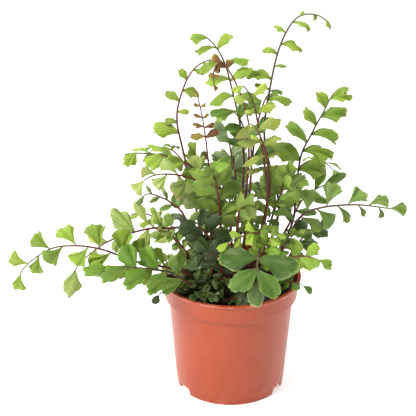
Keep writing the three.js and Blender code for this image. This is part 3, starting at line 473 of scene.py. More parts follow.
class FernLeafSettings(bpy.types.PropertyGroup):
    """Stems and leaflets."""

    thickness: number_setting("Blade", "Thickness of a leaflet", 0.0001, 0.001, 0.00032, unit="LENGTH")
    stem_radius: number_setting(
        "Stem radius", "Radius of a stem at the soil", 0.0003, 0.0015, 0.00112, unit="LENGTH",
    )
    stem_taper: number_setting(
        "Stem taper", "Share of the radius that is lost up to the tip", 0, 1, 0.5, subtype="FACTOR",
    )
    bright: colour_setting("Bright", "Bright green leaflets", (0.235, 0.365, 0.04))
    pale: colour_setting("Pale", "Pale young leaflets", (0.3, 0.39, 0.095))
    mid: colour_setting("Middle", "Middle green leaflets", (0.11, 0.215, 0.024))
    dark: colour_setting("Dark", "Old dark leaflets", (0.026, 0.05, 0.007))
    red: colour_setting("Young red", "Leaflets of newly opened fronds", (0.2, 0.09, 0.026))


class FernStageSettings(bpy.types.PropertyGroup):
    """The floor, the lights and the camera."""

    floor: colour_setting("Floor", "Colour of the floor", (0.9, 0.9, 0.9))
    daylight: number_setting("Daylight", "Brightness of the white surroundings", 0, 5, 0.22)
    glow: number_setting("Floor glow", "How much the lit floor shines by itself", 0, 1, 0.5)
    key: number_setting(
        "Key light", "Power of the large light at the left front", 0, 500, 34.5, unit="POWER",
    )


def unit(vectors):
    """Vectors of length 1 in the same directions."""
    return vectors / np.linalg.norm(vectors, axis=-1, keepdims=True)


def to_frame(points):
    """Millimetres from the pot's axis become metres in the model's frame."""
    return np.asarray(points) * MM + AXIS


def soil_height(x, y):
    """The soil's low bumps: its level plus the sum of two waves over x and y."""
    waves = 0.6 * np.sin(x / 9) * np.cos(y / 11) + 0.4 * np.sin(x / 5 + y / 7)
    return SOIL_LEVEL + SOIL_BUMP * waves


def turns(count):
    """Angles that share a full turn evenly."""
    return np.arange(count) * 2 * math.pi / count


def level_rings(radius, angle, z):
    """Points at a radius, an angle and a height."""
    return np.stack(np.broadcast_arrays(radius * np.cos(angle), radius * np.sin(angle), z), axis=-1)


def smooth_step(low, high, values):
    """0 below low, 1 above high, and 3t² - 2t³ between them."""
    t = np.clip((values - low) / (high - low), 0, 1)
    return t * t * (3 - 2 * t)


def ripples(points, length, count, seed):
    """Smooth random relief from about -1 to 1: a sum of sine waves of about one length and random ways."""
    draws = np.random.default_rng(seed)
    ways = unit(draws.normal(size=(count, 3)))
    ways = ways * (2 * math.pi / (length * draws.uniform(0.6, 1.7, (count, 1))))
    waves = np.sin(points @ ways.T + draws.uniform(0, 2 * math.pi, count))
    return waves.sum(axis=-1) * math.sqrt(2 / count) / 1.5


class Shape:
    """Closed surfaces gathered into one mesh. Each point has its place on its leaflet or stem, and colours.

    blade is 1 on a leaflet's upper face, -1 on its underside and 0 on a stem. tone is the colour of the
    surface, and rim the colour at a leaflet's margin, with its strength as fourth value."""

    def __init__(self):
        self.points, self.quads, self.corners, self.values = [], [], [], []
        self.count = 0

    def add(self, points, quads, corners, place=(0, 0), blade=0, tone=(1, 1, 1), rim=(0, 0, 0, 0)):
        """Adds points in metres, faces of four and three corners, and what each point carries."""
        amount = len(points)
        values = np.empty((amount, 10))
        values[:, 0:2] = place
        values[:, 2] = blade
        values[:, 3:6] = tone
        values[:, 6:10] = rim
        self.points.append(points)
        self.values.append(values)
        self.quads.append(quads + self.count)
        self.corners.append(corners + self.count)
        self.count += amount

    def add_tube(self, rings):
        """Adds a plain closed tube through rings of points in millimetres."""
        points, quads, corners = closed_tube(rings)
        self.add(to_frame(points), quads, corners)

    def to_object(self, name, material, sharp_over=50):
        """Puts the gathered surfaces into a new object at the origin."""
        points = np.concatenate(self.points)
        values = np.concatenate(self.values)
        quads = np.concatenate(self.quads)
        corners = np.concatenate(self.corners)
        loops = np.concatenate([quads.ravel(), corners.ravel()])
        starts = np.concatenate([np.arange(len(quads)) * 4, len(quads) * 4 + np.arange(len(corners)) * 3])
        mesh = bpy.data.meshes.new(name)
        mesh.vertices.add(len(points))
        mesh.vertices.foreach_set("co", points.astype(np.float32).ravel())
        mesh.loops.add(len(loops))
        mesh.loops.foreach_set("vertex_index", loops.astype(np.int32))
        mesh.polygons.add(len(starts))
        mesh.polygons.foreach_set("loop_start", starts.astype(np.int32))
        mesh.update(calc_edges=True)
        mesh.validate()
        mesh.shade_smooth()
        mesh.set_sharp_from_angle(angle=math.radians(sharp_over))
        layer = mesh.uv_layers.new(name="Place")
        layer.data.foreach_set("uv", values[loops, 0:2].astype(np.float32).ravel())
        carried = dict(
            blade=("FLOAT", "value", values[:, 2]),
            tone=("FLOAT_COLOR", "color", np.c_[values[:, 3:6], np.ones(len(points))]),
            rim=("FLOAT_COLOR", "color", values[:, 6:10]),
        )
        for title, (kind, field, numbers) in carried.items():
            attribute = mesh.attributes.new(title, kind, "POINT")
            attribute.data.foreach_set(field, numbers.astype(np.float32).ravel())
        mesh.materials.append(material)
        piece = bpy.data.objects.new(name, mesh)
        bpy.context.scene.collection.objects.link(piece)
        return piece

    def finish(self, name, material, slot, *nodes, sharp_over=50):
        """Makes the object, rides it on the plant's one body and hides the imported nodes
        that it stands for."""
        settle(self.to_object(name, material, sharp_over), slot, *nodes)


def settle(piece, slot, *nodes):
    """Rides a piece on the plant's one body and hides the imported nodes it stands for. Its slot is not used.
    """
    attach(piece, "root")
    if nodes:
        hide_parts(*nodes)


def tube_faces(rings, columns):
    """Faces of a closed tube: four corners between neighbouring rings, and three at the two end points."""
    k = np.arange(columns)
    turned = (k + 1) % columns
    i = np.arange(rings - 1)[:, None] * columns
    quads = np.stack([i + k, i + turned, i + columns + turned, i + columns + k], axis=-1).reshape(-1, 4)
    last = (rings - 1) * columns
    start, end = rings * columns, rings * columns + 1
    bottom = np.stack([np.full(columns, start), turned, k], axis=-1)
    top = np.stack([np.full(columns, end), last + k, last + turned], axis=-1)
    return quads, np.concatenate([bottom, top])


def closed_tube(rings):
    """A tube through rings of points, closed at both ends in the middle of the end rings."""
    count, columns = rings.shape[:2]
    points = np.concatenate([rings.reshape(-1, 3), rings[0].mean(0)[None], rings[-1].mean(0)[None]])
    return (points, *tube_faces(count, columns))


def sheet_faces(rows, columns):
    """Faces of a thin closed sheet: its upper and under side, and a strip all round its margin."""
    size = rows * columns
    i, j = np.meshgrid(np.arange(rows - 1), np.arange(columns - 1), indexing="ij")
    a = (i * columns + j).ravel()
    upper = np.stack([a, a + columns, a + columns + 1, a + 1], axis=-1)
    under = upper[:, ::-1] + size
    margin = np.concatenate([
        np.arange(rows) * columns,
        (rows - 1) * columns + np.arange(1, columns),
        np.arange(rows - 2, -1, -1) * columns + columns - 1,
        np.arange(columns - 2, 0, -1),
    ])
    following = np.roll(margin, -1)
    strip = np.stack([following, margin, margin + size, following + size], axis=-1)
    return np.concatenate([upper, under, strip])


NO_CORNERS = np.zeros((0, 3), int)


class Curve:
    """A smooth curve through points: between two of them a cubic whose slope at each is half the step from
    the point before it to the point after it."""

    DIVISIONS = 200

    def __init__(self, points):
        self.points = np.array(points, float)
        before = 2 * self.points[0] - self.points[1]
        after = 2 * self.points[-1] - self.points[-2]
        self.padded = np.concatenate([before[None], self.points, after[None]])
        self.times = np.linspace(0, 1, self.DIVISIONS + 1)
        steps = np.linalg.norm(np.diff(self.at(self.times), axis=0), axis=1)
        self.reached = np.concatenate([[0], np.cumsum(steps)])

    def at(self, times):
        """Points of the curve at times from 0 to 1."""
        times = np.atleast_1d(times)
        spans = len(self.points) - 1
        k = np.minimum((times * spans).astype(int), spans - 1)
        w = (times * spans - k)[:, None]
        p0, p1, p2, p3 = (self.padded[k + j] for j in range(4))
        t0, t1 = 0.5 * (p2 - p0), 0.5 * (p3 - p1)
        return p1 + t0 * w + (3 * (p2 - p1) - 2 * t0 - t1) * w**2 + (2 * (p1 - p2) + t0 + t1) * w**3

    def along(self, times):
        """Directions of the curve at times from 0 to 1."""
        times = np.atleast_1d(times)
        step = 1e-4
        return unit(self.at(np.minimum(times + step, 1)) - self.at(np.maximum(times - step, 0)))

    def time_at(self, share):
        """The time at which a share of the curve's length is reached."""
        return np.interp(share * self.reached[-1], self.reached, self.times)


def frond_frame(row, along):
    """The side way and the facing way of a frond where it runs along a direction."""
    side = unit(np.cross(along, row["face"]))
    return side, np.cross(side, along)


class Stem:
    """A frond's stem: the smooth curve through its path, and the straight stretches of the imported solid,
    which end where the last leaflet starts."""

    def __init__(self, row):
        x, y = row["path"][0]
        self.root = np.array([x, y, soil_height(x, y)])
        self.curve = Curve([self.root + (0, 0, FOOT_HEIGHT), *row["path"][1:]])
        corners = self.curve.points
        share = 1 - TIP_LEAFLET_RUN * abs(row["leaflets"][-1]) / self.curve.reached[-1]
        self.end = float(self.curve.time_at(share))
        knots = [0.0]
        for i, gap in enumerate(np.linalg.norm(np.diff(corners, axis=0), axis=1)):
            parts = max(1, round(gap / STEM_STEP))
            knots += [(i + j / parts) / (len(corners) - 1) for j in range(1, parts + 1)]
        self.knots = np.array([t for t in knots if t <= self.end - LEAST_KNOT] + [self.end])
        self.places = self.curve.at(self.knots)
        reached = np.concatenate([[0], np.cumsum(np.linalg.norm(np.diff(self.places, axis=0), axis=1))])
        self.shares = reached / reached[-1]
        self.tip = corners[-1]

    def stand(self, share):
        """Where a leaflet stands: on the straight stretches, on the smooth curve, and the curve's way."""
        time = np.interp(share, self.shares, self.knots)
        straight = np.array([np.interp(share, self.shares, self.places[:, axis]) for axis in range(3)])
        return straight, self.curve.at(time)[0], self.curve.along(time)[0]


def lcg_draws(seed):
    """Repeatable draws from -1 to 1: each whole number is the last one times 1664525 plus 1013904223."""
    state = seed
    while True:
        state = (state * 1664525 + 1013904223) % 2**32
        yield 2 * state / 2**32 - 1


def leaflet_stands(row, stem, seed):
    """Every leaflet of a frond, lowest first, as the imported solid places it."""
    draws = lcg_draws(seed)
    last = len(row["leaflets"]) - 1
    wide, close = row.get("spread", SPREAD)
    for i, signed in enumerate(row["leaflets"]):
        angle_draw, lift_draw, roll_draw, size_draw, bend_draw = (next(draws) for _ in range(5))
        hand = 1 if signed > 0 else -1
        run = (min(last, 2 * (i // 2) + PAIR_STEP * (i % 2)) if row.get("paired") else i) / last
        straight, smooth, along = stem.stand(row["bare"] + (TIP_SHARE - row["bare"]) * run)
        if i == last:
            along = unit(stem.tip - straight)
        side, face = frond_frame(row, along)
        spread = 0 if i == last else math.radians(wide + (close - wide) * run + VARY["angle"] * angle_draw)
        out = along * math.cos(spread) + side * hand * math.sin(spread)
        light = np.array(row.get("light", face), float)
        level = unit(light - out * (light @ out))
        yield dict(
            form=row["form"], hand=hand, run=run, base=straight, smooth_base=smooth,
            out=out, across=np.cross(level, out), face=level,
            lift=VARY["lift"] * lift_draw + LIFT_FOR_BEND * row["bend"],
            roll=VARY["roll"] * roll_draw,
            length=abs(signed) * (1 + VARY["size"] * size_draw),
            bend=math.radians(max(LEAST_BEND, row["bend"] * (1 + VARY["bend"] * bend_draw))),
        )


def turned_leaflet(leaflet, lift, roll, share):
    """The leaflet raised by lift and turned on its length by roll, in degrees, and shortened to a share."""
    a, b = math.radians(leaflet["lift"] + lift), math.radians(leaflet["roll"] + roll)
    out, across, face = leaflet["out"], leaflet["across"], leaflet["face"]
    level = face * math.cos(a) - out * math.sin(a)
    return dict(
        leaflet,
        out=out * math.cos(a) + face * math.sin(a),
        across=across * math.cos(b) + level * math.sin(b),
        face=level * math.cos(b) - across * math.sin(b),
        length=leaflet["length"] * share,
    )


def outline(form, hand, v):
    """The margin of a leaflet in leaflet lengths, for v from -1 to 1 across it: half an ellipse beyond the
    shoulders, pulled in between the lobes, and wider on the side towards the frond's tip."""
    angle = v * math.pi / 2
    notch = 1 - form["lobe"] * (0.5 - 0.5 * np.cos(3 * math.pi * (v + 1)))
    wide = np.where(v * hand > 0, form["upper"], 1 / form["upper"])
    x = notch * (form["shoulder"] + (1 - form["shoulder"]) * np.cos(angle))
    return x, notch * form["half_width"] * wide * np.sin(angle)


def arched(leaflet, base, x, y, lift):
    """Places on a leaflet's arch: x runs along a circular arc that turns by bend over the leaflet's length,
    y across it, both in leaflet lengths, and lift is millimetres along the arc's normal."""
    length, bend = leaflet["length"], leaflet["bend"]
    turned = (bend * x)[..., None]
    normal = leaflet["face"] * np.cos(turned) + leaflet["out"] * np.sin(turned)
    return (
        base
        + leaflet["out"] * (length * np.sin(turned) / bend)
        + leaflet["across"] * (length * y[..., None])
        - leaflet["face"] * (length * (1 - np.cos(turned)) / bend)
        + normal * lift[..., None]
    )


def packed_leaflet(leaflet, corners):
    """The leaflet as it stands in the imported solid: the first turn whose margin has its corners there."""
    form = FORMS[leaflet["form"]]
    for share in DODGE_SIZES:
        for lift, roll in DODGES:
            turned = turned_leaflet(leaflet, lift, roll, share)
            stretches = 6 if turned["length"] > SMALL_LEAFLET else 4
            v = np.linspace(-1, 1, stretches + 1)
            x, y = outline(form, leaflet["hand"], v)
            half = np.full(len(v), CAD_BLADE / 2)
            faces = [arched(turned, turned["base"], x, y, side * half) for side in (1, -1)]
            margin = to_frame(np.concatenate(faces))
            gaps = np.linalg.norm(margin[:, None] - corners[None], axis=2).min(axis=1)
            if (gaps < MATCH_REACH * MM).mean() >= MATCH_SHARE:
                return turned
    return None


def fine_margin(form, length, v, draws):
    """How far the fine margin lies inside the plain one, as a share, for v across it: a few smooth notches
    at uneven places, rounded scallops whose dents are sharp, and a slow wander."""
    share = 1 + 0.02 * np.sin(2.3 * v + draws.uniform(0, 6)) + 0.012 * np.sin(5.1 * v + draws.uniform(0, 6))
    for middle in (-0.62, -0.02, 0.6):
        away = (v - middle - draws.uniform(-0.14, 0.14)) / draws.uniform(0.1, 0.22)
        share = share - form["notch"] * draws.uniform(0.05, 1) ** 1.5 * np.exp(-(away**2))
    teeth = form["teeth"] * math.sqrt(length / 16)
    sway = 1.3 * np.sin(3 * v + draws.uniform(0, 6))
    scallop = np.abs(np.sin(math.pi / 2 * teeth * (v + 1) + draws.uniform(0, math.pi) + sway)) ** 0.8
    return share - form["tooth"] * (1 - scallop) * (1 + 0.5 * np.sin(5 * v + draws.uniform(0, 6)))


def add_leaflet(shape, leaflet, tone, rim, thickness, rows, columns, draws):
    """A leaflet's blade on a grid: u runs from its stalk to its margin, with rows closer together at both
    ends, and v across it. The margin is the plain one with notches and scallops; towards the stalk the blade
    narrows as a power of u, which is higher on the hollow lower side. It cups down across, waves near the
    margin and droops towards its end. Its two halves fold along the middle line, which keeps their width,
    and product waves raise low lumps. The margin's own colour fades out over a band inside it."""

    def drawn(name):
        return draws.uniform(*RELIEF[name])

    form = FORMS[leaflet["form"]]
    hand, length = leaflet["hand"], leaflet["length"]
    t = np.linspace(0, 1, rows)[:, None]
    u = 0.02 + 0.98 * (t - 0.115 * np.sin(2 * math.pi * t))
    v = np.linspace(-1, 1, columns)[None, :]
    x, y = outline(dict(form, lobe=0), hand, v)
    margin = 1 - (1 - fine_margin(form, length, v, draws)) * u**4
    upper = 0.5 + 0.5 * v * hand
    power = form["low_side"] + (form["high_side"] - form["low_side"]) * upper
    reach_x = x * u * margin
    reach_y = y * u**power * margin + v * STALK_HALF_WIDTH / length * (1 - u) ** 2
    cup, wave = drawn("cup"), drawn("wave")
    waves = np.sin(math.pi * (drawn("waves") * v + 0.3 * u) + drawn("turn"))
    relief = wave * u**1.5 * waves - cup * (reach_y / form["half_width"]) ** 2 * u
    relief = relief - drawn("droop") * reach_x**2 * u
    fold = drawn("fold") + leaflet["curl"]
    relief = relief + fold * np.sqrt(reach_y**2 + 0.003) * smooth_step(0, 0.4, u)
    reach_y = reach_y / math.sqrt(1 + fold**2)
    lumps = [np.sin(way * length / size + drawn("turn")) for way, size in zip((reach_x, reach_y), LUMPS)]
    relief = relief + drawn("lumps") * lumps[0] * lumps[1] * u
    half = (thickness / MM) * (0.5 - 0.22 * smooth_step(0.8, 1, u) + 0.6 * np.exp(-u / 0.08)) * (1 + 0 * v)
    faces = [arched(leaflet, leaflet["smooth_base"], reach_x, reach_y, relief * length + side * half)
             for side in (1, -1)]
    points = to_frame(np.concatenate(faces).reshape(-1, 3))
    place = np.stack(np.broadcast_arrays(u, (v + 1) / 2), axis=-1).reshape(-1, 2)
    blade = np.repeat([1.0, -1.0], rows * columns)
    band = 1 - smooth_step(*RIM_BAND, (1 - place[:, 0]) * length)
    rims = np.c_[np.tile(rim[:3], (len(points), 1)), np.tile(rim[3] * band, 2)]
    shape.add(points, sheet_faces(rows, columns), NO_CORNERS, np.tile(place, (2, 1)), blade, tone, rims)


def add_stem(shape, row, stem, radius, taper, tones):
    """A stem: circles along the smooth curve, from its root in the soil up to the last leaflet. The radius
    falls evenly to the tip, and swells by half in the few millimetres above the soil. Its colours change at
    four places along it."""
    times = np.linspace(0, stem.end, max(10, int(stem.curve.reached[-1] / STEM_RING_GAP)))
    middle = stem.curve.at(times)
    side, face = frond_frame(row, stem.curve.along(times))
    share = times / stem.end
    radii = radius / MM * row.get("girth", 1) * (1 - taper * share)
    above = np.linalg.norm(middle - stem.root, axis=1)
    radii = radii * (1 + ROOT_SWELL * np.exp(-above / ROOT_SWELL_LENGTH))
    angle = turns(STEM_SIDES)
    circle = np.cos(angle)[None, :, None] * side[:, None] - np.sin(angle)[None, :, None] * face[:, None]
    rings = middle[:, None] + circle * radii[:, None, None]
    foot = rings[0] + (stem.root - (0, 0, ROOT_DEPTH) - middle[0])
    rings = np.concatenate([foot[None], rings])
    share = np.concatenate([[0], share])
    tone = np.stack([np.interp(share, STEM_STOPS, level) for level in np.transpose(tones)], axis=-1)
    points, quads, corners = closed_tube(rings)
    per_point = np.repeat(np.arange(len(share)), STEM_SIDES)
    per_point = np.concatenate([per_point, [0, len(share) - 1]])
    place = np.stack([share[per_point], np.zeros(len(points))], axis=-1)
    shape.add(to_frame(points), quads, corners, place, 0, tone[per_point])


def leaf_grid(leaflet):
    """Rows and columns of a leaflet's grid, by its length in millimetres."""
    return next(grid for least, grid in GRIDS.items() if leaflet["length"] > least)


def finish_frond(shape, row, stem, leaflets, settings, seed, middle=STEM_MIDDLE, grid=None):
    """Adds a frond's stem and leaflets to a shape, each leaflet a little lighter or darker than the last."""
    draws = np.random.default_rng(seed)
    accent = ACCENTS.get(row["name"], {})
    leaf = np.array(accent.get("leaf", getattr(settings, row["tone"])))
    middle = accent.get("stem", middle)
    tones = [STEM_LOW, middle, middle, accent.get("tip", STEM_HIGH)]
    add_stem(shape, row, stem, settings.stem_radius, settings.stem_taper, tones)
    for leaflet in leaflets:
        shade = draws.uniform(*SHADES["light"]) * (1 + TIP_LIGHTER * leaflet["run"])
        warmth = draws.uniform(*SHADES["warmth"])
        tone = np.clip(leaf * shade * (1 + warmth, 1, 1 - warmth), 0, 1)
        strength = accent.get("rim_share", PLAIN_RIM) * draws.uniform(*SHADES["rim"])
        rim = (*accent.get("rim", LIME), min(1, strength))
        curled = dict(leaflet, curl=accent.get("curl", 0))
        add_leaflet(shape, curled, tone, rim, settings.thickness, *(grid or leaf_grid(leaflet)), draws)


class Value:
    """A number in a material. Python's operators on it add the Math nodes that work them out."""

    def __init__(self, graph, socket):
        self.graph, self.socket = graph, socket

    def math(self, operation, *others):
        inputs = dict(enumerate((self, *others)))
        node = self.graph.node("ShaderNodeMath", {"operation": operation}, inputs)
        return Value(self.graph, node.outputs[0])

    def __add__(self, other):
        return self.math("ADD", other)

    def __mul__(self, other):
        return self.math("MULTIPLY", other)

    def __sub__(self, other):
        return self.math("SUBTRACT", other)

    def __rsub__(self, other):
        return (self * -1).math("ADD", other)

    def __truediv__(self, other):
        return self.math("DIVIDE", other)

    def __pow__(self, other):
        return self.math("POWER", other)

    __radd__, __rmul__ = __add__, __mul__

    def smooth(self, low, high):
        """0 below low, 1 above high and smooth between them."""
        settings = {"interpolation_type": "SMOOTHSTEP"}
        inputs = {"Value": self, "From Min": low, "From Max": high}
        return Value(self.graph, self.graph.node("ShaderNodeMapRange", settings, inputs).outputs[0])


class Graph:
    """A material's nodes, written as Python expressions."""

    def __init__(self, name):
        self.material = bpy.data.materials.new(name)
        self.material.use_nodes = True
        self.tree = self.material.node_tree
        self.tree.nodes.clear()

    def node(self, kind, settings=None, inputs=None):
        """Adds a node of a type, sets its settings first, and then the values or links of its sockets."""
        node = self.tree.nodes.new(kind)
        for key, value in (settings or {}).items():
            setattr(node, key, value)
        for key, value in (inputs or {}).items():
            source = value.socket if isinstance(value, Value) else value
            if isinstance(source, bpy.types.NodeSocket):
                self.tree.links.new(source, node.inputs[key])
            else:
                node.inputs[key].default_value = source
        return node

    def attribute(self, name):
        """The node that reads one of the mesh's own attributes."""
        return self.node("ShaderNodeAttribute", {"attribute_name": name})

    def place(self):
        """The place on a leaflet or stem, as two values: along it and across it."""
        uv = self.node("ShaderNodeUVMap", {"uv_map": "Place"}).outputs[0]
        parts = self.node("ShaderNodeSeparateXYZ", None, {0: uv})
        return Value(self, parts.outputs[0]), Value(self, parts.outputs[1])

    def vector(self, *values):
        """A vector of two values."""
        return self.node("ShaderNodeCombineXYZ", None, dict(enumerate(values))).outputs[0]

    def noise(self, size, detail=2, stretch=(1, 1, 1), roughness=0.5, where=None):
        """Noise from 0 to 1 with features of about one size, in metres, longer where stretch is below 1."""
        where = where or self.node("ShaderNodeTexCoord").outputs["Object"]
        if stretch != (1, 1, 1):
            where = self.node("ShaderNodeMapping", None, {"Vector": where, "Scale": stretch}).outputs[0]
        inputs = {"Vector": where, "Scale": 1 / size, "Detail": detail, "Roughness": roughness}
        return Value(self, self.node("ShaderNodeTexNoise", None, inputs).outputs["Fac"])

    def mix(self, share, first, second):
        """A colour between two colours."""
        first, second = ((*c, 1) if isinstance(c, tuple) else c for c in (first, second))
        node = self.node("ShaderNodeMix", {"data_type": "RGBA"}, {"Factor": share, 6: first, 7: second})
        return node.outputs[2]

    def scaled(self, colour, share):
        """A colour times a number."""
        node = self.node("ShaderNodeVectorMath", {"operation": "SCALE"}, {0: colour, "Scale": share})
        return node.outputs[0]

    def finish(self, base, roughness, height, depth, **plain):
        """The surface: base colour and roughness from the nodes, bumps of a depth in metres from height, and
        plain values on the shader's own sockets."""
        bump = self.node("ShaderNodeBump", None, {"Height": height, "Distance": depth, "Strength": 1.0})
        inputs = {"Base Color": base, "Roughness": roughness, "Normal": bump.outputs[0], **plain}
        shader = self.node("ShaderNodeBsdfPrincipled", None, inputs)
        self.node("ShaderNodeOutputMaterial", None, {"Surface": shader.outputs[0]})
        return self.material


def lines(values, count, sharpness):
    """Thin lines where values times count is whole: 1 on a line, falling to 0 between two of them."""
    saw = (values * count).math("PINGPONG", 0.5)
    return (1 - saw * 2) ** sharpness


def leaf_material(name, gloss, shine, yellow):
    """Leaflets and their stem. Fine veins fan out from the stalk and fork twice on their way to the margin.
    They are a little lighter than the blade and stand out of it; the underside is paler and duller.
    Blotches, larger clouds, specks and streaks from the stalk outwards lighten and darken the blade, some
    patches turn yellow, and the margin takes its own colour. The stem's skin is smooth and polished, with
    short streaks."""
    graph = Graph(name)
    u, v = graph.place()
    blade = Value(graph, graph.attribute("blade").outputs["Fac"])
    tone = graph.attribute("tone").outputs["Color"]
    rim = graph.attribute("rim")
    leafy = blade.math("ABSOLUTE")
    under = (blade * -1).math("MAXIMUM", 0)
    fork_one, fork_two = u.smooth(0.3, 0.42), u.smooth(0.6, 0.74)
    veins = lines(v, VEINS, 7) * (1 - fork_one) + lines(v, 2 * VEINS, 7) * fork_one * (1 - fork_two)
    veins = (veins + lines(v, 4 * VEINS, 6) * fork_two) * leafy
    blotches, clouds, specks = graph.noise(0.005, 3), graph.noise(0.013, 2), graph.noise(0.0011, 2)
    streaks = graph.noise(1, 2, (1.2, 9, 1), where=graph.vector(u + blotches * 0.4, v + blotches * 0.15))
    light = 0.16 + (blotches + clouds) * 0.4 + specks * 0.3
    light = light + (streaks * 0.42 + u * 0.2) * leafy + veins * 0.16
    colour = graph.scaled(tone, light)
    colour = graph.mix(clouds.smooth(0.45, 0.7) * leafy * yellow, colour, YELLOWED)
    colour = graph.mix((1 - u.smooth(0.03, 0.16)) * leafy * 0.7, colour, STALK)
    edge = (0.6 + blotches * 0.8) * leafy * Value(graph, rim.outputs["Alpha"])
    colour = graph.mix(edge.math("MINIMUM", 1), colour, rim.outputs["Color"])
    colour = graph.mix(under * 0.35, colour, UNDERSIDE)
    roughness = gloss + under * 0.15 + blotches * 0.12 - (1 - leafy) * 0.08
    bark = (1 - leafy) * graph.noise(0.0012, 2, (1, 1, 0.2))
    height = veins * 0.5 + graph.noise(0.0022, 3) * 0.55 + bark * 0.5
    return graph.finish(
        colour, roughness, height, 0.00022,
        **{"Subsurface Weight": 0.1, "Subsurface Radius": (1.0, 1.0, 0.25), "Subsurface Scale": 0.001,
           "Specular IOR Level": shine},
    )


def plastic_material(settings):
    """The pot's plastic: an even colour with faint upright flow marks and clouds, a fine satin grain, dusty
    patches near the rim and the foot, and a few dark specks of soil on the lip. Painted light makes the lip a
    little lighter above the band, a broken painted highlight line runs round the lip, and painted shade
    darkens the creases under the band and the lip."""
    graph = Graph("fine_plastic")
    where = graph.node("ShaderNodeTexCoord").outputs["Object"]
    height = Value(graph, graph.node("ShaderNodeSeparateXYZ", None, {0: where}).outputs[2])

    def rise(level, low, high):
        """From 0 to 1 between two heights, in millimetres from a level of the pot."""
        return height.smooth((level + low) * MM, (level + high) * MM)

    def ring(level, low, full, fading, gone):
        """A ring round the pot: it rises from 0 to 1 and falls again, in millimetres from a level."""
        return rise(level, low, full) * (1 - rise(level, fading, gone))

    clouds, flow = graph.noise(0.035, 4), graph.noise(0.004, 3, (1, 1, 0.06))
    # Painted light: above the band's top the lip is made a little lighter
    light = 0.88 + clouds * 0.14 + flow * 0.1 + rise(BAND_TOP, -0.1, 1.2) * 0.05
    colour = graph.scaled((*settings.plastic,), light)
    foot, rim = 1 - rise(0, 0, 20), rise(POT_HEIGHT, -8.5, 0)
    dust = graph.noise(0.009, 5, roughness=0.7).smooth(0.5, 0.72) * (0.06 + rim * 0.3 + foot * 0.2)
    colour = graph.mix(dust, colour, DUST)
    specks = graph.noise(0.0016, 3).smooth(0.66, 0.7) * rise(POT_HEIGHT, -4, -1)
    colour = graph.mix(specks * 0.85, colour, SOIL_SPECK)
    # Painted highlight: a broken light line round the outside of the lip
    lip_highlight = ring(POT_HEIGHT, -1.9, -1.2, -0.7, -0.2) * graph.noise(0.012, 3).smooth(0.42, 0.64)
    colour = graph.mix(lip_highlight * 0.4, colour, LIP_HIGHLIGHT)
    # Painted shade: dark rings, broken by noise, in the creases under the band and under the lip
    painted_shade = ring(BODY_TOP, -1.5, 0.2, 0.6, 1.8) + ring(BAND_TOP, -0.8, 0.4, 0.4, 1.2) * 0.3
    painted_shade = painted_shade * (0.35 + graph.noise(0.006, 3) * 0.7)
    colour = graph.mix(painted_shade * 0.75, colour, PAINTED_SHADE)
    roughness = settings.roughness - 0.06 + clouds * 0.08 + dust * 0.3 + specks * 0.3 + painted_shade * 0.3
    relief = graph.noise(0.0007, 2) * 0.4 + flow * 0.8 + clouds * 0.6
    return graph.finish(
        colour, roughness, relief, 0.00012,
        **{"Subsurface Weight": 0.12, "Subsurface Radius": (1.0, 0.3, 0.15), "Subsurface Scale": 0.0012,
           "Specular IOR Level": 0.4},
    )


def soil_material(name, dark, light, roughness):
    """Moist soil: dark, with lighter brown fibres and dry spots, and a rough grain."""
    graph = Graph(name)
    fine = graph.noise(0.0012, 4, roughness=0.7)
    patches = graph.noise(0.009, 3)
    colour = graph.mix(fine.smooth(0.45, 0.75) * (0.35 + patches * 0.65), tuple(dark), light)
    colour = graph.mix(graph.noise(0.003, 3).smooth(0.62, 0.72) * 0.5, colour, DRY_SOIL)
    return graph.finish(colour, roughness - fine * 0.2, fine + patches * 0.5, 0.0006)


def rounded(corners, radii, steps=6):
    """A profile through corners, each replaced by a parabola that leaves it at its radius on both sides."""
    corners = np.array(corners, float)
    t = np.linspace(0, 1, steps)[:, None]
    stretches = [corners[:1]]
    for before, corner, after, radius in zip(corners, corners[1:], corners[2:], radii):
        start = corner + unit(before - corner) * radius
        end = corner + unit(after - corner) * radius
        stretches.append((1 - t) ** 2 * start + 2 * t * (1 - t) * corner + t**2 * end)
    return np.concatenate([*stretches, corners[-1:]])


def spaced(profile, gap):
    """The profile with more points, so that no two are further apart than a gap."""
    parts = [profile[:1]]
    for a, b in zip(profile, profile[1:]):
        count = max(1, math.ceil(np.linalg.norm(b - a) / gap))
        parts.append(a + (b - a) * (np.arange(1, count + 1) / count)[:, None])
    return np.concatenate(parts)


def wall(z):
    """The body's outer radius at a height."""
    return BASE_RADIUS + (BODY_TOP_RADIUS - BASE_RADIUS) / BODY_TOP * z


def cut_by(piece, cutter):
    """Cuts one object out of another and removes the cutter."""
    cut = piece.modifiers.new("Cut", "BOOLEAN")
    cut.operation, cut.object, cut.solver = "DIFFERENCE", cutter, "EXACT"
    done = bpy.data.meshes.new_from_object(piece.evaluated_get(bpy.context.evaluated_depsgraph_get()))
    piece.modifiers.clear()
    piece.data = done
    bpy.data.objects.remove(cutter)


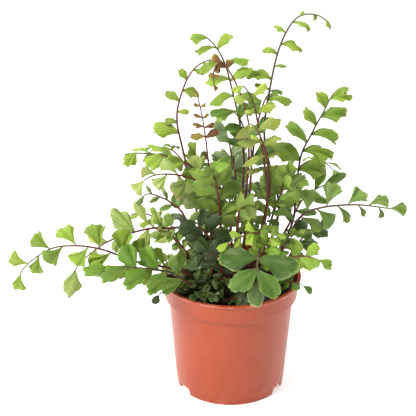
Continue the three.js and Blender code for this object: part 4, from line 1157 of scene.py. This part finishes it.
class FERN_OT_pot(bpy.types.Operator):
    """Builds the pot: a turned profile whose skirt is raised over three notches, with drain holes cut out"""

    bl_idname = "fern.pot"
    bl_label = "Pot"

    def execute(self, context):
        settings = context.scene.fern_pot
        profile = self.profile()
        edges = [azimuth + side * math.degrees((NOTCH_HALF_WIDTH - inset) / BASE_RADIUS)
                 for azimuth in NOTCH_AZIMUTHS for side in (-1, 1) for inset in np.arange(-0.4, 2.4, 0.35)]
        angle = np.mod([*np.linspace(0, 360, settings.columns + 1), *edges], 360)
        angle = np.radians(np.unique(np.round(angle, 3)))
        height = self.lifted(profile, self.notches(angle))
        shape = Shape()
        shape.add_tube(level_rings(profile[:, 0][:, None], angle, height))
        pot = shape.to_object("nursery_pot", plastic_material(settings), 40)
        cut_by(pot, self.drill(pot.data.materials[0]))
        settle(pot, "pot_plastic", "pot")
        return {"FINISHED"}

    def profile(self):
        """The section of the wall as radius and height, from the middle of the floor's underside round the
        foot, the outside, the lip and the inside to the middle of the floor."""
        corners = [
            (1, FLOOR_UNDERSIDE), (wall(FLOOR_UNDERSIDE) - WALL, FLOOR_UNDERSIDE), (BASE_RADIUS - WALL, 0),
            (BASE_RADIUS, 0), (wall(FOOT_LINE), FOOT_LINE), (wall(FOOT_LINE) + 0.22, FOOT_LINE + 0.35),
            (BODY_TOP_RADIUS, BODY_TOP - 1), (BAND_BOTTOM_RADIUS, BODY_TOP + 0.6),
            (BAND_TOP_RADIUS, BAND_TOP), (LIP_RADIUS, POT_HEIGHT - 2), (LIP_RADIUS, POT_HEIGHT),
            (BAND_TOP_RADIUS - WALL, POT_HEIGHT),
            (BAND_BOTTOM_RADIUS - WALL, BODY_TOP + 1.6), (BODY_TOP_RADIUS - WALL, BODY_TOP + 0.8),
            (wall(FLOOR_TOP) - WALL, FLOOR_TOP), (1, FLOOR_TOP),
        ]
        radii = [1.2, 0.35, 0.4, 0.2, 0.2, 1.4, 0.9, 0.6, 0.8, 0.9, 0.7, 0.8, 0.8, 1.5]
        return spaced(rounded(corners, radii), 2.2)

    def notches(self, angle):
        """How high the foot is raised at each angle: flat over a notch, with steep straight sides."""
        raised = np.zeros(len(angle))
        for azimuth in NOTCH_AZIMUTHS:
            from_notch = np.angle(np.exp(1j * (angle - math.radians(azimuth - 90))))
            gap = NOTCH_HALF_WIDTH - np.abs(from_notch) * BASE_RADIUS
            raised = np.maximum(raised, np.clip(gap * NOTCH_SIDE_SLOPE, 0, NOTCH_HEIGHT))
        return raised

    def lifted(self, profile, raised):
        """Heights of the profile with the skirt squeezed up over the notches, the floor's top left alone."""
        index, z = np.arange(len(profile))[:, None], profile[:, 1][:, None]
        top = np.where(index >= np.argmin(profile[:, 1]), SKIRT_TOP, FLOOR_UNDERSIDE)
        skirt = (z < top) & (index <= len(profile) - FLOOR_POINTS)
        return np.where(skirt, raised + z * (1 - raised / top), z)

    def drill(self, material):
        """The drain holes as one object of upright cylinders."""
        shape = Shape()
        turn = turns(28)
        for around in turns(DRAIN_COUNT):
            middle = DRAIN_CIRCLE * np.array([math.cos(around), math.sin(around), 0])
            ends = [level_rings(DRAIN_RADIUS, turn, z) for z in (FLOOR_UNDERSIDE - 3, FLOOR_TOP + 3)]
            shape.add_tube(np.array(ends) + middle)
        return shape.to_object("drill", material)


class FERN_OT_soil(bpy.types.Operator):
    """Builds the soil: a plug with a grainy top, loose crumbs and fibres"""

    bl_idname = "fern.soil"
    bl_label = "Soil"

    def execute(self, context):
        settings = context.scene.fern_soil
        angle = turns(SOIL_COLUMNS)
        radii = np.linspace(SOIL_RADIUS, 0.4, SOIL_RINGS)[:, None]
        x, y = radii * np.cos(angle), radii * np.sin(angle)
        flat = level_rings(radii, angle, 0)
        grain = settings.grain / MM
        height = soil_height(x, y) + grain * (ripples(flat, 2.4, 40, 3) + 0.9 * ripples(flat, 7, 24, 4))
        clear = WALL + SOIL_GAP
        corners = [
            (1, SOIL_BOTTOM), (wall(SOIL_BOTTOM) - clear, SOIL_BOTTOM), (BODY_TOP_RADIUS - clear, BODY_TOP),
            (BAND_BOTTOM_RADIUS - clear, BODY_TOP + 2.2),
        ]
        below = [level_rings(radius, angle, z) for radius, z in corners]
        shape = Shape()
        shape.add_tube(np.concatenate([below, np.stack([x, y, height], axis=-1)]))
        material = soil_material("potting_soil", settings.soil, SOIL_LIGHT, 0.95)
        shape.finish("potting_soil", material, "potting_soil", "soil", sharp_over=70)
        draws = np.random.default_rng(11)
        self.add_crumbs(settings.crumbs, draws)
        self.add_fibres(settings.fibres, draws)
        return {"FINISHED"}

    def add_crumbs(self, count, draws):
        """Crumbs: small lumpy balls of a few rings, half sunk in the soil."""
        shape = Shape()
        turn = turns(CRUMB_SIDES)
        rise = np.radians(CRUMB_RISE)[:, None]
        for _ in range(count):
            size = draws.uniform(0.35, 1.0) ** 2 * 1.9
            radius = (SOIL_RADIUS - 1.5) * math.sqrt(draws.uniform())
            around = draws.uniform(0, 2 * math.pi)
            x, y = radius * math.cos(around), radius * math.sin(around)
            ball = level_rings(np.cos(rise), turn, np.sin(rise))
            ball = ball * draws.uniform(0.75, 1.2, ball.shape) * draws.uniform(0.6, 1, 3) * size
            shape.add_tube(ball + (x, y, soil_height(x, y) + 0.35 * size))
        material = soil_material("soil_crumbs", *CRUMB_COLOURS, 0.95)
        shape.finish("soil_crumbs", material, "potting_soil", sharp_over=30)

    def add_fibres(self, count, draws):
        """Fibres: thin rods that taper to both ends, bent along a parabola, and lie on the soil."""
        shape = Shape()
        corner = turns(FIBRE_SIDES)[:, None]
        for _ in range(count):
            radius = (SOIL_RADIUS - 6) * math.sqrt(draws.uniform())
            around, heading = draws.uniform(0, 2 * math.pi, 2)
            run = np.linspace(-0.5, 0.5, len(FIBRE_GIRTH)) * draws.uniform(4, 11)
            sway = draws.uniform(-0.09, 0.09) * run**2
            x = radius * math.cos(around) + run * math.cos(heading) - sway * math.sin(heading)
            y = radius * math.sin(around) + run * math.sin(heading) + sway * math.cos(heading)
            middle = np.stack([x, y, soil_height(x, y) + 0.7 + 0.05 * (run - run[0])], axis=-1)
            across = np.array([-math.sin(heading), math.cos(heading), 0])
            girth = draws.uniform(0.12, 0.3) * np.array(FIBRE_GIRTH)
            ring = np.cos(corner) * across + np.sin(corner) * np.array([0, 0, 1])
            shape.add_tube(middle[:, None] + ring * girth[:, None, None])
        material = soil_material("soil_fibres", *FIBRE_COLOURS, 0.85)
        shape.finish("soil_fibres", material, "potting_soil", sharp_over=60)


class FERN_OT_fronds(bpy.types.Operator):
    """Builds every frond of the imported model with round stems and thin, veined, scalloped leaflets"""

    bl_idname = "fern.fronds"
    bl_label = "Fronds"

    def execute(self, context):
        settings = context.scene.fern_leaf
        materials = {tone: leaf_material("fine_" + slot, *LEAF_FINISH[tone])
                     for tone, slot in SLOTS.items()}
        for index, row in enumerate(FRONDS):
            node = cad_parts["frond_" + row["name"]]
            corners = np.empty(len(node.data.vertices) * 3, np.float32)
            node.data.vertices.foreach_get("co", corners)
            stem = Stem(row)
            stand_seed, finish_seed = (seed + index for seed in FROND_SEEDS)
            stands = leaflet_stands(row, stem, stand_seed)
            leaflets = [packed_leaflet(stand, corners.reshape(-1, 3)) for stand in stands]
            shape = Shape()
            finish_frond(shape, row, stem, [one for one in leaflets if one], settings, finish_seed)
            shape.finish(row["name"] + "_frond", materials[row["tone"]], SLOTS[row["tone"]], node.name)
        return {"FINISHED"}


class FERN_OT_sprouts(bpy.types.Operator):
    """Builds the low young fronds that crowd the soil, and the small ones that fill the clump's middle"""

    bl_idname = "fern.sprouts"
    bl_label = "Sprouts"

    def execute(self, context):
        settings = context.scene.fern_leaf
        draws = np.random.default_rng(5)
        sprouts = [self.sprout(draws) for _ in range(context.scene.fern_soil.sprouts)]
        self.add_fronds("low_sprouts", "leaf_dark", sprouts, settings, SPROUT_SEEDS, STEM_LOW, SMALL_GRID)
        inner = [
            dict(
                INNER, name=INNER_FINISH.get(tone, "inner"), tone=tone, path=path,
                leaflets=list(length * np.array(INNER_SIZES) * (-1 if k % 2 else 1)),
            )
            for k, (tone, length, path) in enumerate(INNER_FRONDS)
        ]
        self.add_fronds("inner_leaflets", "leaf_mid", inner, settings, INNER_SEEDS, STEM_MIDDLE, INNER_GRID)
        return {"FINISHED"}

    def add_fronds(self, name, slot, rows, settings, seeds, middle, grid):
        """Small fronds gathered in one piece, with few faces each."""
        shape = Shape()
        for k, row in enumerate(rows):
            stand_seed, finish_seed = (seed + k for seed in seeds)
            stem = Stem(row)
            leaflets = [turned_leaflet(one, 0, 0, 1) for one in leaflet_stands(row, stem, stand_seed)]
            finish_frond(shape, row, stem, leaflets, settings, finish_seed, middle, grid)
        shape.finish(name, bpy.data.materials["fine_" + slot], slot)

    def sprout(self, draws):
        """One sprout: it leaves the soil, most often at the left front, and leans outwards in a low arch
        that stays inside the pot's lip. The inner ones stand higher."""
        around = math.radians(draws.choice([draws.normal(-130, 24), draws.uniform(0, 360)], p=[0.74, 0.26]))
        radius = draws.uniform(*SPROUT_RING)
        lean = around + math.radians(draws.uniform(-50, 50))
        rise = draws.uniform(5, 13) + draws.uniform(0, 1.3) * (SPROUT_RING[1] - radius)
        way = np.array([math.cos(lean), math.sin(lean), 0])
        root = radius * np.array([math.cos(around), math.sin(around), 0])
        reach = min(draws.uniform(8, 16), SPROUT_REACH - radius)
        level = soil_height(root[0], root[1])
        path = [root + way * reach * s + (0, 0, level + rise * math.sin(2.2 * s)) for s in (0.35, 0.7, 1)]
        size = draws.uniform(5.5, 10.5)
        return dict(
            SPROUT, name=str(draws.choice([*SPROUT_FINISHES], p=[*SPROUT_FINISHES.values()])),
            face=(0.4 * way[0], 0.4 * way[1] - 0.35, 0.9), path=[list(root[:2]), *path],
            leaflets=[size * share for share in SPROUT_SIZES],
        )


class FERN_OT_stage(bpy.types.Operator):
    """Builds the floor, the lights and the camera"""

    bl_idname = "fern.stage"
    bl_label = "Stage"

    def execute(self, context):
        settings = context.scene.fern_stage
        scene = context.scene
        mesh = bpy.data.meshes.new("floor")
        corners = [(x * FLOOR_HALF, y * FLOOR_HALF, 0) for x, y in ((-1, -1), (1, -1), (1, 1), (-1, 1))]
        mesh.from_pydata(corners, [], [(0, 1, 2, 3)])
        graph = Graph("floor")
        tint = graph.mix(graph.noise(0.4, 2) * 0.04, tuple(settings.floor), (1, 1, 1))
        glow = {"Emission Color": (1, 1, 1, 1), "Emission Strength": settings.glow}
        mesh.materials.append(graph.finish(tint, 0.9, graph.noise(0.002, 2), 0.0001, **glow))
        floor = bpy.data.objects.new("floor", mesh)
        scene.collection.objects.link(floor)
        world = bpy.data.worlds.new("surroundings")
        world.use_nodes = True
        background = world.node_tree.nodes["Background"]
        background.inputs["Color"].default_value = (1, 1, 1, 1)
        background.inputs["Strength"].default_value = settings.daylight
        scene.world = world
        for name, place, size, share in LIGHTS:
            self.add_light(name, place, size, settings.key * share)
        scene.view_settings.view_transform = "Standard"
        camera = bpy.data.cameras.new("camera")
        camera.sensor_width = SENSOR
        camera.lens = SENSOR * FOCAL_PIXELS / FRAME_PIXELS
        camera.clip_start = 0.05
        stand = bpy.data.objects.new("camera", camera)
        pitch = math.radians(VIEW_PITCH)
        back = np.array([0, -math.cos(pitch), math.sin(pitch)]) * VIEW_DISTANCE
        stand.location = to_frame(np.array(VIEW_TARGET) + back)
        stand.rotation_euler = (math.pi / 2 - pitch, 0, 0)
        scene.collection.objects.link(stand)
        scene.camera = stand
        return {"FINISHED"}

    def add_light(self, name, place, size, power):
        """A square soft light that looks at the middle of the plant."""
        lamp = bpy.data.lights.new(name, "AREA")
        lamp.size, lamp.energy = size, power
        light = bpy.data.objects.new(name, lamp)
        light.location = place
        towards = np.array(LIGHT_TARGET) - np.array(place)
        flat = math.hypot(towards[0], towards[1])
        heading = math.atan2(towards[1], towards[0])
        light.rotation_euler = (math.atan2(flat, -towards[2]), 0, heading - math.pi / 2)
        bpy.context.scene.collection.objects.link(light)


class FERN_PT_panel(bpy.types.Panel):
    """The fern's pieces and settings"""

    bl_idname = "FERN_PT_panel"
    bl_label = "Potted Fern"
    bl_space_type = "VIEW_3D"
    bl_region_type = "UI"
    bl_category = "Fern"

    def draw(self, context):
        for group, title in GROUPS.items():
            box = self.layout.box()
            box.label(text=title)
            settings = getattr(context.scene, group)
            for name in settings.__annotations__:
                box.prop(settings, name)
        for operator in OPERATORS:
            self.layout.operator(operator.bl_idname)


GROUPS = dict(fern_pot="Pot", fern_soil="Soil", fern_leaf="Fronds", fern_stage="Stage")
SETTINGS = (FernPotSettings, FernSoilSettings, FernLeafSettings, FernStageSettings)
OPERATORS = (FERN_OT_stage, FERN_OT_pot, FERN_OT_soil, FERN_OT_fronds, FERN_OT_sprouts)


def register():
    for group in (*SETTINGS, *OPERATORS, FERN_PT_panel):
        bpy.utils.register_class(group)
    for name, group in zip(GROUPS, SETTINGS):
        setattr(bpy.types.Scene, name, bpy.props.PointerProperty(type=group))


def unregister():
    for name in GROUPS:
        delattr(bpy.types.Scene, name)
    for group in (FERN_PT_panel, *OPERATORS[::-1], *SETTINGS[::-1]):
        bpy.utils.unregister_class(group)


def main():
    register()
    bpy.ops.fern.stage()
    bpy.ops.fern.pot()
    bpy.ops.fern.soil()
    bpy.ops.fern.fronds()
    bpy.ops.fern.sprouts()


if __name__ == "__main__":
    main()
